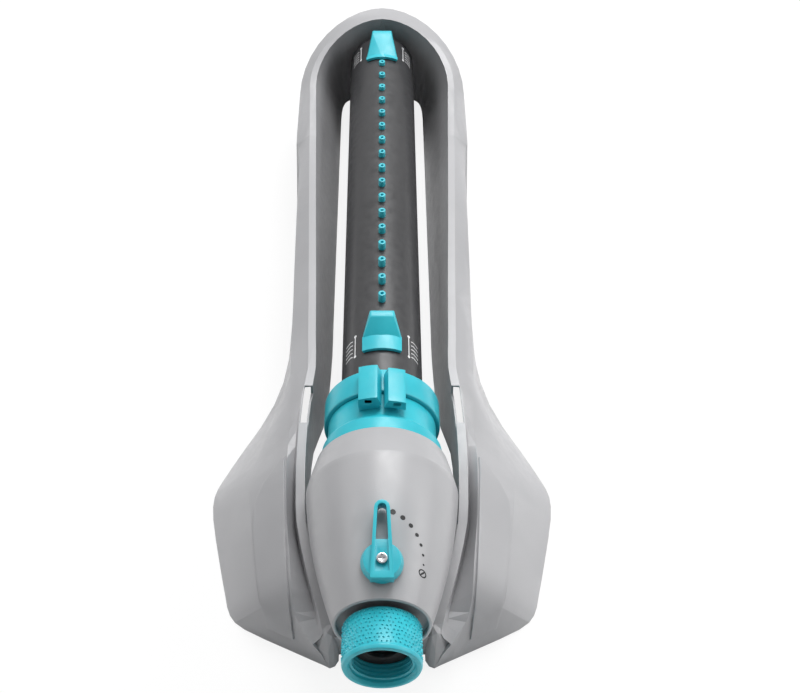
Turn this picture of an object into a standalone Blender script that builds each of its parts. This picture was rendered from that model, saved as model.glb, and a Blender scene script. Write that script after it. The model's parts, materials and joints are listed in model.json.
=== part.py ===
"""Oscillating lawn sprinkler: base moulding, hose inlet, geared water motor, spray tube and its adjusters.

Metres, +Z up. The ground is z = 0, the hose inlet faces -Y, and the spray tube turns about a line along Y.
Places along the sprinkler are given as the distance from the inlet's front face, and along_y() turns them into Y.
"""

import math

import bmesh
import bpy
from mathutils import Matrix, Vector

MM = 0.001

# Overall
OVERALL_LENGTH = 508 * MM
WING_HALF_WIDTH = 92 * MM
COVER_REAR_RADIUS = 39 * MM   # of the motor cover, the widest piece on the tube's line
AXIS_HEIGHT = COVER_REAR_RADIUS + 6 * MM
CLEARANCE = 0.3 * MM          # between pieces that touch
RUNNING_GAP = 0.8 * MM        # between the moving pieces and the mouldings round them
LEDGE_GAP = 1.2 * MM          # between the motor cover and the ledges of the base

# Base moulding
BASE_WALL = 1.4 * MM
HOOP_LENGTH = 70 * MM         # the round far end of the base
HOOP_START = OVERALL_LENGTH - HOOP_LENGTH
HOOP_RIDGE_REACH = 53 * MM    # from there to the middle of its ridge
HOOP_FOOT_REACH = 66 * MM     # from there to the foot of its inner wall
HOOP_HALF_WIDTH = 57 * MM
HOOP_RIDGE_HEIGHT = 76.4 * MM
HOOP_RIM_HEIGHT = 75.6 * MM
RAIL_SLOT = 8 * MM            # open gap between the tube and each rail, at the ground
RAIL_HEIGHT = 58 * MM
RAIL_START = 162 * MM
RIDGE_WIDTH = 4.2 * MM
RIDGE_SLOT_START = 143 * MM
RIDGE_SLOT_END = 168 * MM
RIDGE_SLOT_DEPTH = 2.6 * MM
FLOOR_BOTTOM = 3 * MM
FLOOR_THICKNESS = 2 * MM
FLOOR_END = 112 * MM
SCREW_RADIUS = 1.9 * MM
SCREW_HEAD_RADIUS = 3.6 * MM

# Spray tube
TUBE_RADIUS = 22 * MM
TUBE_WALL = 2 * MM
TUBE_START = 116 * MM
TUBE_END = HOOP_START + HOOP_RIDGE_REACH - 9 * MM
PIN_RADIUS = 5 * MM
BUSH_RADIUS = 7.1 * MM

# Width sliders
SLIDER_LENGTH = 22 * MM
SLIDER_HALF_WIDTH = 10.7 * MM
SLIDER_CREST_HALF_WIDTH = 6.6 * MM
SLIDER_CREST_RISE = 9 * MM
NEAR_TRAVEL = 8 * MM          # each way
FAR_TRAVEL = 3 * MM
SLIDER_NEAR = 178 * MM        # where the near slider's saddle starts
SLIDER_FAR = TUBE_END - 5 * MM
STEM_HALF_WIDTH = 2 * MM
STEM_HALF_LENGTH = 3 * MM
CLIP_THICKNESS = 1.8 * MM
CLIP_HALF_WIDTH = 6 * MM
CLIP_HALF_LENGTH = 7 * MM

# Nozzles, as many as fit between the sliders
NOZZLE_PITCH = 14.5 * MM
NOZZLE_FIRST = 217 * MM
NOZZLE_COUNT = int((SLIDER_FAR - SLIDER_LENGTH - FAR_TRAVEL - NOZZLE_FIRST) / NOZZLE_PITCH) + 1
NOZZLE_RADIUS = 2.1 * MM
NOZZLE_BORE = 0.8 * MM
NOZZLE_RISE_NEAR = 5.5 * MM
NOZZLE_RISE_FAR = 2.5 * MM
STRIP_HALF_WIDTH = 4 * MM
STRIP_THICKNESS = 2 * MM

# Range collars
REAR_COLLAR_START = 141.5 * MM
REAR_COLLAR_END = 157 * MM
COLLAR_FLANGE_RADIUS = TUBE_RADIUS + 9.2 * MM
COLLAR_NECK_RADIUS = TUBE_RADIUS + 6.4 * MM
REAR_COLLAR_RADIUS = TUBE_RADIUS + 8.6 * MM
TAB_RADIUS = TUBE_RADIUS + 15.2 * MM
TAB_LENGTH = 22.5 * MM
TAB_FLARE = 2.2 * MM          # how far each tab's inner side leans out at its foot

# Hose inlet
NUT_RADIUS = 18.5 * MM
NUT_LENGTH = 22 * MM
NUT_BORE = NUT_RADIUS - 4.5 * MM
NUT_SOCKET = 12 * MM          # how deep the hose goes in
SPIGOT_RADIUS = 0.515 * NUT_RADIUS
SPIGOT_BORE = 0.35 * NUT_RADIUS
SPIGOT_FLANGE_RADIUS = NUT_BORE - 0.8 * MM
SPIGOT_START = 13 * MM
VALVE_RADIUS = 12 * MM
VALVE_START = 32 * MM
VALVE_END = 62 * MM
SPIGOT_END = 66 * MM

# Motor cover
COVER_START = 22 * MM
COVER_END = 114.5 * MM
COVER_BEND = 96 * MM           # where it starts to draw in to its rear rim
COVER_RIM_DROP = 5 * MM
COVER_FRONT_RADIUS = NUT_RADIUS + 4.5 * MM
COVER_TAPER = 2.0             # exponent of the cover's egg shape
COVER_WALL = 2 * MM
FRONT_COLLAR_START = COVER_END + 0.5 * MM

# Flow lever
LEVER_PLACE = 38 * MM
LEVER_HUB_RADIUS = 10 * MM
LEVER_HUB_TOP_RADIUS = 8.6 * MM
LEVER_HUB_HEIGHT = 4.5 * MM
LEVER_ARM = 28 * MM
LEVER_ARM_HEIGHT = 7.2 * MM
SPINDLE_RADIUS = 3.6 * MM
VALVE_PLUG_RADIUS = 5.2 * MM

# Gears
OUTPUT_TEETH = 24
IDLER_PINION_TEETH = 8
IDLER_WHEEL_TEETH = 24
TURBINE_PINION_TEETH = 9
OUTPUT_MODULE = 0.027 * COVER_REAR_RADIUS
GEAR_DISTANCE = OUTPUT_MODULE * (OUTPUT_TEETH + IDLER_PINION_TEETH) / 2
INPUT_MODULE = 2 * GEAR_DISTANCE / (IDLER_WHEEL_TEETH + TURBINE_PINION_TEETH)
GEAR_WIDTH = 5 * MM
PLATE_THICKNESS = 1.5 * MM
GEARBOX_START = 79 * MM
INPUT_GEARS_START = GEARBOX_START + PLATE_THICKNESS + 1.2 * MM
OUTPUT_GEARS_START = INPUT_GEARS_START + GEAR_WIDTH + 1.5 * MM
GEARBOX_END = OUTPUT_GEARS_START + GEAR_WIDTH + 1.2 * MM
IDLER_CENTRE = (-GEAR_DISTANCE, AXIS_HEIGHT)
IDLER_PIN_RADIUS = 1.4 * MM
SHAFT_RADIUS = 1.5 * MM
SLEEVE_RADIUS = 8 * MM
SLEEVE_BORE = 5 * MM
TURBINE_RADIUS = 14 * MM
TURBINE_HUB_RADIUS = 5 * MM
TURBINE_WIDTH = 7 * MM
TURBINE_START = SPIGOT_END + 3 * MM
TURBINE_VANES = 12

ROUND = 40                    # facets round the large turned pieces
SMALL_ROUND = 16


# ---------- helpers ----------

def along_y(place):
    """The Y of a place given from the inlet's front face."""
    return place - OVERALL_LENGTH / 2


def colour(name, rgb, roughness, metallic=0.0):
    material = bpy.data.materials.new(name)
    material.use_nodes = True
    shader = material.node_tree.nodes["Principled BSDF"]
    shader.inputs["Base Color"].default_value = (*rgb, 1.0)
    shader.inputs["Roughness"].default_value = roughness
    shader.inputs["Metallic"].default_value = metallic
    return material


def add_mesh(name, bm, material, origin=(0, 0, 0)):
    """An object from a bmesh built in world space, with its origin moved to a point, and its faces turned out."""
    bmesh.ops.recalc_face_normals(bm, faces=bm.faces)
    bmesh.ops.translate(bm, verts=bm.verts, vec=-Vector(origin))
    mesh = bpy.data.meshes.new(name)
    bm.to_mesh(mesh)
    bm.free()
    mesh.materials.append(material)
    mesh.shade_smooth()
    mesh.set_sharp_from_angle(angle=math.radians(35))
    item = bpy.data.objects.new(name, mesh)
    item.location = origin
    bpy.context.scene.collection.objects.link(item)
    return item


def boolean(item, other, operation):
    """Cuts or joins another object into this one, and removes it."""
    bpy.context.view_layer.update()
    modifier = item.modifiers.new(operation.title(), "BOOLEAN")
    modifier.operation = operation
    modifier.object = other
    with bpy.context.temp_override(object=item, active_object=item):
        bpy.ops.object.modifier_apply(modifier=modifier.name)
    bpy.data.objects.remove(other)
    item.data.shade_smooth()
    item.data.set_sharp_from_angle(angle=math.radians(35))
    return item


def cut(item, other):
    return boolean(item, other, "DIFFERENCE")


def join(item, other):
    return boolean(item, other, "UNION")


def turned_bmesh(profile, centre=(0.0, AXIS_HEIGHT), segments=ROUND):
    """A closed (radius, place) outline turned about a line along Y through centre (x, z)."""
    bm = bmesh.new()
    rings = []
    for step in range(segments):
        angle = 2 * math.pi * (step + 0.5) / segments
        side = math.sin(angle)
        up = math.cos(angle)
        rings.append([bm.verts.new((centre[0] + r * side, along_y(d), centre[1] + r * up)) for r, d in profile])
    count = len(profile)
    for step in range(segments):
        first = rings[step]
        second = rings[(step + 1) % segments]
        for i in range(count):
            j = (i + 1) % count
            bm.faces.new((first[i], first[j], second[j], second[i]))
    return bm


def turned(name, profile, material, centre=(0.0, AXIS_HEIGHT), segments=ROUND):
    origin = (centre[0], along_y(profile[0][1]), centre[1])
    return add_mesh(name, turned_bmesh(profile, centre, segments), material, origin)


def rod_bmesh(start, end, radius, segments=SMALL_ROUND, end_radius=None):
    """A round bar from one point to another."""
    start = Vector(start)
    end = Vector(end)
    run = end - start
    bm = bmesh.new()
    far_radius = radius if end_radius is None else end_radius
    place = Matrix.Translation((start + end) / 2) @ run.to_track_quat("Z", "Y").to_matrix().to_4x4()
    bmesh.ops.create_cone(bm, cap_ends=True, segments=segments, radius1=radius, radius2=far_radius,
                          depth=run.length, matrix=place)
    return bm


def rod(name, start, end, radius, material, segments=SMALL_ROUND, end_radius=None):
    return add_mesh(name, rod_bmesh(start, end, radius, segments, end_radius), material, start)


def block_bmesh(low, high):
    bm = bmesh.new()
    bmesh.ops.create_cube(bm, size=1.0)
    low = Vector(low)
    high = Vector(high)
    bmesh.ops.scale(bm, verts=bm.verts, vec=high - low)
    bmesh.ops.translate(bm, verts=bm.verts, vec=(low + high) / 2)
    return bm


def block(name, low, high, material):
    return add_mesh(name, block_bmesh(low, high), material, (Vector(low) + Vector(high)) / 2)


def prism_bmesh(outline, offset):
    """A closed outline of points swept along an offset."""
    bm = bmesh.new()
    lower = [bm.verts.new(point) for point in outline]
    upper = [bm.verts.new(Vector(point) + Vector(offset)) for point in outline]
    bm.faces.new(lower)
    bm.faces.new(upper)
    for i in range(len(outline)):
        j = (i + 1) % len(outline)
        bm.faces.new((lower[i], lower[j], upper[j], upper[i]))
    return bm


def hull_bmesh(points):
    """The convex solid round some points."""
    bm = bmesh.new()
    for point in points:
        bm.verts.new(point)
    bmesh.ops.convex_hull(bm, input=bm.verts)
    return bm


def merged(bmeshes):
    """Several bmeshes as one, each staying a closed shell of its own."""
    whole = bmesh.new()
    for bm in bmeshes:
        bmesh.ops.recalc_face_normals(bm, faces=bm.faces)
        scrap = bpy.data.meshes.new("scrap")
        bm.to_mesh(scrap)
        bm.free()
        whole.from_mesh(scrap)
        bpy.data.meshes.remove(scrap)
    return whole


def smooth_through(keys, t):
    """A point on the Catmull-Rom curve through the key values, t in key steps."""
    i = min(int(t), len(keys) - 2)
    f = t - i
    a = keys[max(i - 1, 0)]
    b = keys[i]
    c = keys[i + 1]
    d = keys[min(i + 2, len(keys) - 1)]
    out = []
    for p, q, r, s in zip(a, b, c, d):
        rise = (r - p) / 2
        leave = (s - q) / 2
        out.append((2 * f**3 - 3 * f**2 + 1) * q + (f**3 - 2 * f**2 + f) * rise
                   + (3 * f**2 - 2 * f**3) * r + (f**3 - f**2) * leave)
    return out


# ---------- materials ----------

bpy.context.scene.unit_settings.scale_length = 1.0
for item in list(bpy.data.objects):
    bpy.data.objects.remove(item)

grey = colour("grey_plastic", (0.45, 0.45, 0.47), 0.38)
teal = colour("teal_plastic", (0.03, 0.50, 0.60), 0.42)
charcoal = colour("charcoal_plastic", (0.045, 0.045, 0.048), 0.36)
dark = colour("dark_plastic", (0.02, 0.02, 0.022), 0.5)
white = colour("white_plastic", (0.75, 0.75, 0.73), 0.4)
rubber = colour("black_rubber", (0.015, 0.015, 0.015), 0.7)
steel = colour("screw_steel", (0.6, 0.6, 0.62), 0.25, 1.0)


# ---------- base moulding ----------

def cover_radius(place):
    """Outer radius of the motor cover: an egg-like taper to its front edge, and a straight one to its rear rim."""
    run = min(max((COVER_END - place) / (COVER_END - COVER_START), 0.0), 1.0)
    drawn_in = min(max((place - COVER_BEND) / (COVER_END - COVER_BEND), 0.0), 1.0)
    egg = COVER_REAR_RADIUS - (COVER_REAR_RADIUS - COVER_FRONT_RADIUS) * run**COVER_TAPER
    return egg - COVER_RIM_DROP * drawn_in


def ledge_inner(place, height):
    """Half-width of the ledge beside the motor cover, clear of the cover at that height."""
    drop = AXIS_HEIGHT - height
    half = math.sqrt(max(cover_radius(place) ** 2 - drop**2, 0.0))
    return half + LEDGE_GAP


def base_keys():
    """Key sections of the right half, from the inlet end back to the hoop.

    Each is seven (half-width, place, height) points: ground edge, flank crease, shoulder, groove, ridge outer edge,
    ridge inner edge and inner foot.
    """
    spread = WING_HALF_WIDTH / (92 * MM)
    foot = TUBE_RADIUS + RAIL_SLOT
    tab_swing = max(TAB_RADIUS - 37.2 * MM, 0.0)
    keys = []

    def wing(ground, crease, shoulder, groove, ridge, place, height):
        inner = max(ridge * MM + tab_swing, ledge_inner(place * MM, height * MM))
        outer = inner + RIDGE_WIDTH + 0.4 * MM
        keys.append([
            (ground[0] * MM * spread, ground[1] * MM, 0.0),
            (crease[0] * MM * spread, crease[1] * MM, crease[2] * MM),
            (max(shoulder[0] * MM, outer + 5 * MM), shoulder[1] * MM, shoulder[2] * MM),
            (max(groove[0] * MM, outer + 1.2 * MM), groove[1] * MM, groove[2] * MM),
            (outer, place * MM, height * MM),
            (inner, place * MM, height * MM),
            (inner + 0.4 * MM, place * MM, 0.0),
        ])

    wing((26, 26.6), (29.5, 28.5, 9), (31, 30.5, 15), (29.5, 32.5, 18), 24, 33.5, 20)
    wing((46.6, 36.6), (45, 39, 11), (41, 40.5, 19), (31.5, 38.5, 19.5), 25, 38, 21.5)
    wing((69, 48), (57, 47, 15), (43.5, 47, 26), (33, 46, 20), 26.8, 44, 24.5)
    wing((77, 56), (61, 53.5, 19), (44.5, 54.5, 32), (35.4, 54, 23), 29.6, 52, 28.5)
    wing((80.5, 68), (63, 66, 23.5), (45.5, 67, 37.5), (37.8, 66, 26.5), 32.8, 64, 33)
    wing((85.6, 90), (66, 87, 27), (46.6, 88, 42.6), (41, 87, 31), 36.6, 86, 39)
    wing((91, 116), (69, 110, 28), (47.6, 108, 45.4), (43.4, 106, 37.5), 39.2, 105, 43.5)
    wing((91.6, 131), (69, 124, 27.5), (48.4, 122, 45.6), (44.6, 121, 43), 39.5, 120, 46.5)
    wing((87.6, 143), (66, 140, 26.5), (49, 140, 45.2), (45, 140, 46.4), 39.2, 140, 48.6)
    wing((78, 164), (61, 161, 25.5), (49.8, 162, 45.3), (44.6, 162, 47.2), 38.2, 162, 50)

    def rail(share, ground, flank, shoulder, ridge, foot_now, height):
        place = RAIL_START + share * (HOOP_START - RAIL_START)
        outer = ridge + RIDGE_WIDTH
        top = height * MM
        side = top * 0.88
        keys.append([
            (ground * MM, place, 0.0),
            (flank * MM, place, side * 0.5),
            (shoulder * MM, place, side),
            ((shoulder * MM + outer) / 2, place, (side + top) / 2),
            (outer, place, top),
            (ridge, place, top),
            (foot_now, place, 0.0),
        ])

    rail(0.07, 69.5, 57, 50.3, foot + 6.2 * MM, foot + 3.5 * MM, 50.6)
    rail(0.152, 60, 54, 51, foot + 7.0 * MM, foot + 1.2 * MM, 51.3)
    rail(0.268, 54, 52.6, 51.4, foot + 8.0 * MM, foot, 52.3)
    rail(0.362, 54, 53, 52, foot + 8.9 * MM, foot, 53.1)
    rail(0.572, 55, 54, 53, foot + 11 * MM, foot, 54.8)
    rail(0.778, 56.0, 54.9, 53.9, foot + 12.9 * MM, foot, 56.4)
    rail(0.80, 58, 57, 56.1, foot + 13.0 * MM, foot, 56.5)
    rail(0.9, 58, 57, 56.1, foot + 14 * MM, foot, 57.3)
    return keys


def hoop_section(angle):
    """A section of the hoop round the tube's far end, from 0 where it leaves the rail to a right angle at its middle."""
    foot = TUBE_RADIUS + RAIL_SLOT
    ridge = foot + 15 * MM
    side = math.cos(angle)
    run = math.sin(angle)

    def on_curve(half_width, reach, height, end_height, bulge):
        """A point on a flattened or pointed ellipse, which rises evenly to its far end."""
        along = run**bulge
        return (half_width * side**bulge, HOOP_START + reach * along, height + (end_height - height) * along)

    outer_reach = HOOP_RIDGE_REACH + RIDGE_WIDTH
    shoulder_height = RAIL_HEIGHT * 0.88
    return [
        on_curve(HOOP_HALF_WIDTH + 1 * MM, HOOP_LENGTH, 0.0, 0.0, 0.7),
        on_curve(HOOP_HALF_WIDTH, HOOP_LENGTH - 0.7 * MM, RAIL_HEIGHT * 0.44, HOOP_RIM_HEIGHT * 0.5, 0.95),
        on_curve(HOOP_HALF_WIDTH - 0.9 * MM, HOOP_LENGTH - 1.5 * MM, shoulder_height, HOOP_RIM_HEIGHT, 1.08),
        on_curve((HOOP_HALF_WIDTH + ridge) / 2 + 1 * MM, (HOOP_LENGTH + outer_reach) / 2, (shoulder_height + RAIL_HEIGHT) / 2,
                 (HOOP_RIM_HEIGHT + HOOP_RIDGE_HEIGHT) / 2, 1.08),
        on_curve(ridge + RIDGE_WIDTH, outer_reach, RAIL_HEIGHT, HOOP_RIDGE_HEIGHT, 1.08),
        on_curve(ridge, HOOP_RIDGE_REACH, RAIL_HEIGHT, HOOP_RIDGE_HEIGHT, 1.08),
        on_curve(foot, HOOP_FOOT_REACH, 0.0, 0.0, 0.26),
    ]


def far_wall():
    """Where the hoop's inner wall crosses the tube's line."""
    return HOOP_START + HOOP_FOOT_REACH - (HOOP_FOOT_REACH - HOOP_RIDGE_REACH) * AXIS_HEIGHT / HOOP_RIDGE_HEIGHT


def ridge_inner(keys, place):
    """Half-width of the ridge's inner edge at a place."""
    for near, far in zip(keys, keys[1:]):
        if near[5][1] <= place <= far[5][1]:
            share = (place - near[5][1]) / (far[5][1] - near[5][1])
            return near[5][0] + (far[5][0] - near[5][0]) * share
    return keys[-1][5][0]


def nose_points(side):
    """Corners of the blunt end of a wing beside the hose nut."""
    corners = [
        (25.6, 26.2, 0), (23, 27.4, 0), (21.3, 30.5, 0), (21.3, 37.5, 0), (40, 34.2, 0), (40, 40, 0),
        (26, 28, 11), (23.4, 29, 11), (22, 31.5, 11), (22.2, 37.5, 17), (31, 30.2, 11.5), (38, 36.4, 12),
        (24.2, 32.2, 20), (26.6, 33, 21.4), (24, 37.5, 22), (29, 37.5, 20.5),
    ]
    return [(side * x * MM, along_y(d * MM), z * MM) for x, d, z in corners]


def make_base():
    """The whole base moulding: two wings, two rails, the far hoop and the floor under the motor, as one thin shell."""
    keys = base_keys()
    hoop_steps = 10
    keys.append(hoop_section(0.0))
    sections = []
    substeps = 2
    for i in range((len(keys) - 1) * substeps):
        t = i / substeps
        sections.append([smooth_through([key[g] for key in keys], t) for g in range(7)])
    for i in range(hoop_steps + 1):
        sections.append(hoop_section(math.pi / 2 * i / hoop_steps))

    bm = bmesh.new()
    rows = []
    for section in sections:
        last = section is sections[-1]
        rows.append([bm.verts.new((0.0 if last else x, along_y(d), z)) for x, d, z in section])
    for near, far in zip(rows, rows[1:]):
        for g in range(6):
            bm.faces.new((near[g], far[g], far[g + 1], near[g + 1]))
    mirror = bmesh.ops.duplicate(bm, geom=bm.verts[:] + bm.edges[:] + bm.faces[:])
    copies = [part for part in mirror["geom"] if isinstance(part, bmesh.types.BMVert)]
    bmesh.ops.scale(bm, verts=copies, vec=(-1, 1, 1))
    flipped = [part for part in mirror["geom"] if isinstance(part, bmesh.types.BMFace)]
    bmesh.ops.reverse_faces(bm, faces=flipped)
    bmesh.ops.remove_doubles(bm, verts=bm.verts[:], dist=0.00005)
    bmesh.ops.recalc_face_normals(bm, faces=bm.faces)
    skin = bpy.data.meshes.new("base_frame")
    bm.to_mesh(skin)
    bm.free()
    skin.materials.append(grey)
    base = bpy.data.objects.new("base_frame", skin)
    bpy.context.scene.collection.objects.link(base)
    top = max(skin.polygons, key=lambda face: face.center.z)
    shell = base.modifiers.new("Wall", "SOLIDIFY")
    shell.thickness = BASE_WALL
    shell.offset = -1.0 if top.normal.z > 0 else 1.0
    shell.use_even_offset = False
    with bpy.context.temp_override(object=base, active_object=base):
        bpy.ops.object.modifier_apply(modifier=shell.name)

    reach = OVERALL_LENGTH
    cut(base, block("ground", (-reach, -reach, -10 * MM), (reach, reach, 0), grey))

    # Floor under the motor, inside the walls, with the screw holes.
    inside = BASE_WALL / 2
    outline = [(p[6][0] + inside, p[6][1]) for p in keys if p[6][1] < FLOOR_END]
    outline.append((ridge_inner(keys, FLOOR_END) + inside, FLOOR_END))
    floor = [(x, along_y(d), FLOOR_BOTTOM) for x, d in outline]
    floor += [(-x, y, z) for x, y, z in reversed(floor)]
    plate = add_mesh("floor", prism_bmesh(floor, (0, 0, FLOOR_THICKNESS)), grey)
    join(base, plate)
    web_half = keys[0][6][0] + inside
    web_top = AXIS_HEIGHT - cover_radius(35.4 * MM) - RUNNING_GAP
    web = block("web", (-web_half, along_y(33.6 * MM), 0.6 * MM), (web_half, along_y(35.4 * MM), web_top), grey)
    join(base, web)
    for side, place in screw_places():
        hole = rod("hole", (side, along_y(place), 0), (side, along_y(place), 8 * MM), SCREW_RADIUS + CLEARANCE, grey)
        cut(base, hole)

    for side in (-1, 1):
        join(base, add_mesh("nose", hull_bmesh(nose_points(side)), grey))

    # The long slot through each ridge beside the range collars.
    low = ridge_height(keys, RIDGE_SLOT_START) - RIDGE_SLOT_DEPTH
    for side in (-1, 1):
        corners = []
        for place, out in ((RIDGE_SLOT_START, -1), (RIDGE_SLOT_END, -1), (RIDGE_SLOT_END, 1), (RIDGE_SLOT_START, 1)):
            edge = ridge_inner(keys, place) + (-1 * MM if out < 0 else RIDGE_WIDTH)
            corners.append((side * edge, along_y(place), low))
        cut(base, add_mesh("slot", prism_bmesh(corners, (0, 0, 14 * MM)), grey))

    # The seat of the tube's far bearing.
    wall = along_y(far_wall())
    seat = rod("seat", (0, wall - 8 * MM, AXIS_HEIGHT), (0, wall + 7 * MM, AXIS_HEIGHT), BUSH_RADIUS + CLEARANCE, grey)
    return cut(base, seat)


def ridge_height(keys, place):
    return min(key[5][2] for key in keys if key[5][1] + 25 * MM > place)


def screw_places():
    return [(side * half, place) for half, place in ((12 * MM, 56 * MM), (16 * MM, 89 * MM)) for side in (-1, 1)]


make_base()


# ---------- hose inlet and flow valve ----------

def lever_frame():
    """Pivot point on the cover, the upward line of the lever's pivot, and the direction its pointer rests in."""
    pivot = Vector((0, along_y(LEVER_PLACE), AXIS_HEIGHT + cover_radius(LEVER_PLACE)))
    tilt = math.atan((cover_radius(LEVER_PLACE + 1 * MM) - cover_radius(LEVER_PLACE - 1 * MM)) / (2 * MM))
    up = Vector((0, -math.sin(tilt), math.cos(tilt)))
    ahead = Vector((0, math.cos(tilt), math.sin(tilt)))
    return pivot, up, ahead


def make_hose_nut():
    """The swivelling hose nut: a socket for the hose, with a lip behind the spigot's flange."""
    seat = 16 * MM
    lip_end = 18 * MM
    neck = SPIGOT_RADIUS + RUNNING_GAP
    rear = NUT_RADIUS - 4 * MM
    return turned("hose_nut", [
        (NUT_BORE + 2.2 * MM, 0.0), (NUT_RADIUS - 1.2 * MM, 0.0), (NUT_RADIUS, 1.2 * MM),
        (NUT_RADIUS, NUT_LENGTH - 1 * MM), (NUT_RADIUS - 1 * MM, NUT_LENGTH), (rear, NUT_LENGTH), (rear, lip_end),
        (neck, lip_end), (neck, seat), (NUT_BORE + 0.9 * MM, seat), (NUT_BORE + 0.9 * MM, NUT_SOCKET),
        (NUT_BORE, NUT_SOCKET), (NUT_BORE, 2.2 * MM)], teal, segments=36)


def make_inlet_body():
    """The fixed spigot and valve chamber on the inlet's centre line, with the boss that the spindle goes down."""
    profile = [
        (SPIGOT_BORE, SPIGOT_START), (SPIGOT_FLANGE_RADIUS, SPIGOT_START), (SPIGOT_FLANGE_RADIUS, 15.2 * MM),
        (SPIGOT_RADIUS, 15.2 * MM), (SPIGOT_RADIUS, VALVE_START), (VALVE_RADIUS, VALVE_START),
        (VALVE_RADIUS, VALVE_END), (SPIGOT_RADIUS, VALVE_END), (SPIGOT_RADIUS, SPIGOT_END), (SPIGOT_BORE, SPIGOT_END),
    ]
    body = turned("inlet_body", profile, charcoal, segments=32)
    pivot, up, _ = lever_frame()
    boss = rod("boss", pivot - up * 6 * MM, valve_middle(), SPINDLE_RADIUS + 4 * MM, charcoal)
    bore = rod("bore", (0, along_y(SPIGOT_START), AXIS_HEIGHT), (0, along_y(SPIGOT_END), AXIS_HEIGHT),
               SPIGOT_BORE + 0.2 * MM, charcoal, 32)
    cut(boss, bore)
    join(body, boss)
    chamber = rod("chamber", pivot, valve_middle() - up * (SPIGOT_BORE + 2 * MM), VALVE_PLUG_RADIUS + CLEARANCE, charcoal)
    return cut(body, chamber)


def valve_middle():
    """Where the spindle's line meets the inlet's centre line."""
    pivot, up, _ = lever_frame()
    return pivot - up * ((pivot.z - AXIS_HEIGHT) / up.z)


def seal_place():
    """The middle of the seal round the spindle."""
    _, up, _ = lever_frame()
    return valve_middle() + up * (SPIGOT_BORE + 5.5 * MM)


def make_valve():
    """The plug that the flow lever turns: a cylinder across the bore with a port through it, and its spindle."""
    pivot, up, _ = lever_frame()
    middle = valve_middle()
    plug = rod("flow_valve", middle - up * (SPIGOT_BORE + 1.2 * MM), middle + up * (SPIGOT_BORE + 1.6 * MM),
               VALVE_PLUG_RADIUS, white)
    spindle = rod("spindle", middle, pivot + up * 4.1 * MM, SPINDLE_RADIUS, white)
    join(plug, spindle)
    cut(plug, turned_ring(seal_place(), up, 2.7 * MM, SPINDLE_RADIUS + 1 * MM, 1.9 * MM))
    port = rod("port", middle - Vector((0, 9 * MM, 0)), middle + Vector((0, 9 * MM, 0)), 3.4 * MM, white)
    cut(plug, port)
    screw_hole = rod("screw_hole", pivot + up * 5 * MM, pivot - up * 6 * MM, 1.5 * MM, white)
    return cut(plug, screw_hole)


def turned_ring(centre, line, inner, outer, height, name="ring", material=None, segments=SMALL_ROUND):
    """A square-edged ring of a given inner and outer radius about a line."""
    ring = rod(name, centre - line * height / 2, centre + line * height / 2, outer, material or dark, segments)
    hole = rod("hole", centre - line * height, centre + line * height, inner, material or dark, segments)
    return cut(ring, hole)


def make_valve_seal():
    _, up, _ = lever_frame()
    return turned_ring(seal_place(), up, 3.0 * MM, VALVE_PLUG_RADIUS, 1.5 * MM, "spindle_seal", rubber)


def make_lever():
    """The flow lever: a sloping round hub, and a hollow arm across it that narrows to a round tip."""
    pivot, up, ahead = lever_frame()
    across = Vector((1, 0, 0))
    rest = pivot + up * 0.6 * MM
    lever = add_mesh("flow_lever", rod_bmesh(rest, rest + up * LEVER_HUB_HEIGHT, LEVER_HUB_RADIUS, 32, LEVER_HUB_TOP_RADIUS),
                     teal, pivot)

    def plan(half_back, half_tip, back, tip):
        """A strip from behind the pivot to a round tip."""
        outline = [(-half_back, back), (half_back, back)]
        for step in range(7):
            turn = math.pi * step / 6
            outline.append((math.cos(turn) * half_tip, tip - half_tip + math.sin(turn) * half_tip))
        return outline

    def raise_plan(outline, low, high):
        return prism_bmesh([rest + across * x + ahead * y + up * low for x, y in outline], up * (high - low))

    arm = raise_plan(plan(5.5 * MM, 3.7 * MM, -9.3 * MM, LEVER_ARM), 0.0, LEVER_ARM_HEIGHT)
    join(lever, add_mesh("arm", arm, teal))
    pocket = raise_plan(plan(3.4 * MM, 2.1 * MM, -6 * MM, LEVER_ARM - 1.7 * MM), 5.2 * MM, LEVER_ARM_HEIGHT + 3 * MM)
    cut(lever, add_mesh("pocket", pocket, teal))
    window = raise_plan(plan(2.9 * MM, 2.1 * MM, 9.5 * MM, LEVER_ARM - 1.7 * MM), -3 * MM, LEVER_ARM_HEIGHT + 3 * MM)
    cut(lever, add_mesh("window", window, teal))
    cut(lever, rod("bore", pivot - up * 2 * MM, pivot + up * 4.4 * MM, SPINDLE_RADIUS + CLEARANCE, teal))
    return cut(lever, rod("screw_way", pivot, pivot + up * 7 * MM, 1.6 * MM, teal))


def make_lever_screw():
    pivot, up, _ = lever_frame()
    head = pivot + up * (5.8 * MM + CLEARANCE)
    screw = rod("lever_screw", head, head + up * 1.5 * MM, 2.5 * MM, steel, 24)
    shank = rod("shank", head + up * 0.5 * MM, pivot - up * 4 * MM, 1.2 * MM, steel, 12)
    join(screw, shank)
    across = Vector((1, 0, 0))
    for blade in (across, up.cross(across)):
        side = up.cross(blade).normalized() * 0.35 * MM
        run = blade.normalized() * 1.7 * MM
        bar = [head + up * 0.8 * MM + p for p in (run + side, side - run, -run - side, run - side)]
        cut(screw, add_mesh("bar", prism_bmesh(bar, up * 2 * MM), steel))
    return screw


make_hose_nut()
make_inlet_body()
make_valve()
make_valve_seal()
make_lever()
make_lever_screw()
washer = (SPIGOT_BORE + 1.1 * MM, NUT_BORE - 0.6 * MM)
turned("hose_washer", [(washer[0], 10.2 * MM), (washer[1], 10.2 * MM), (washer[1], 12.7 * MM), (washer[0], 12.7 * MM)],
       rubber, segments=32)


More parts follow.
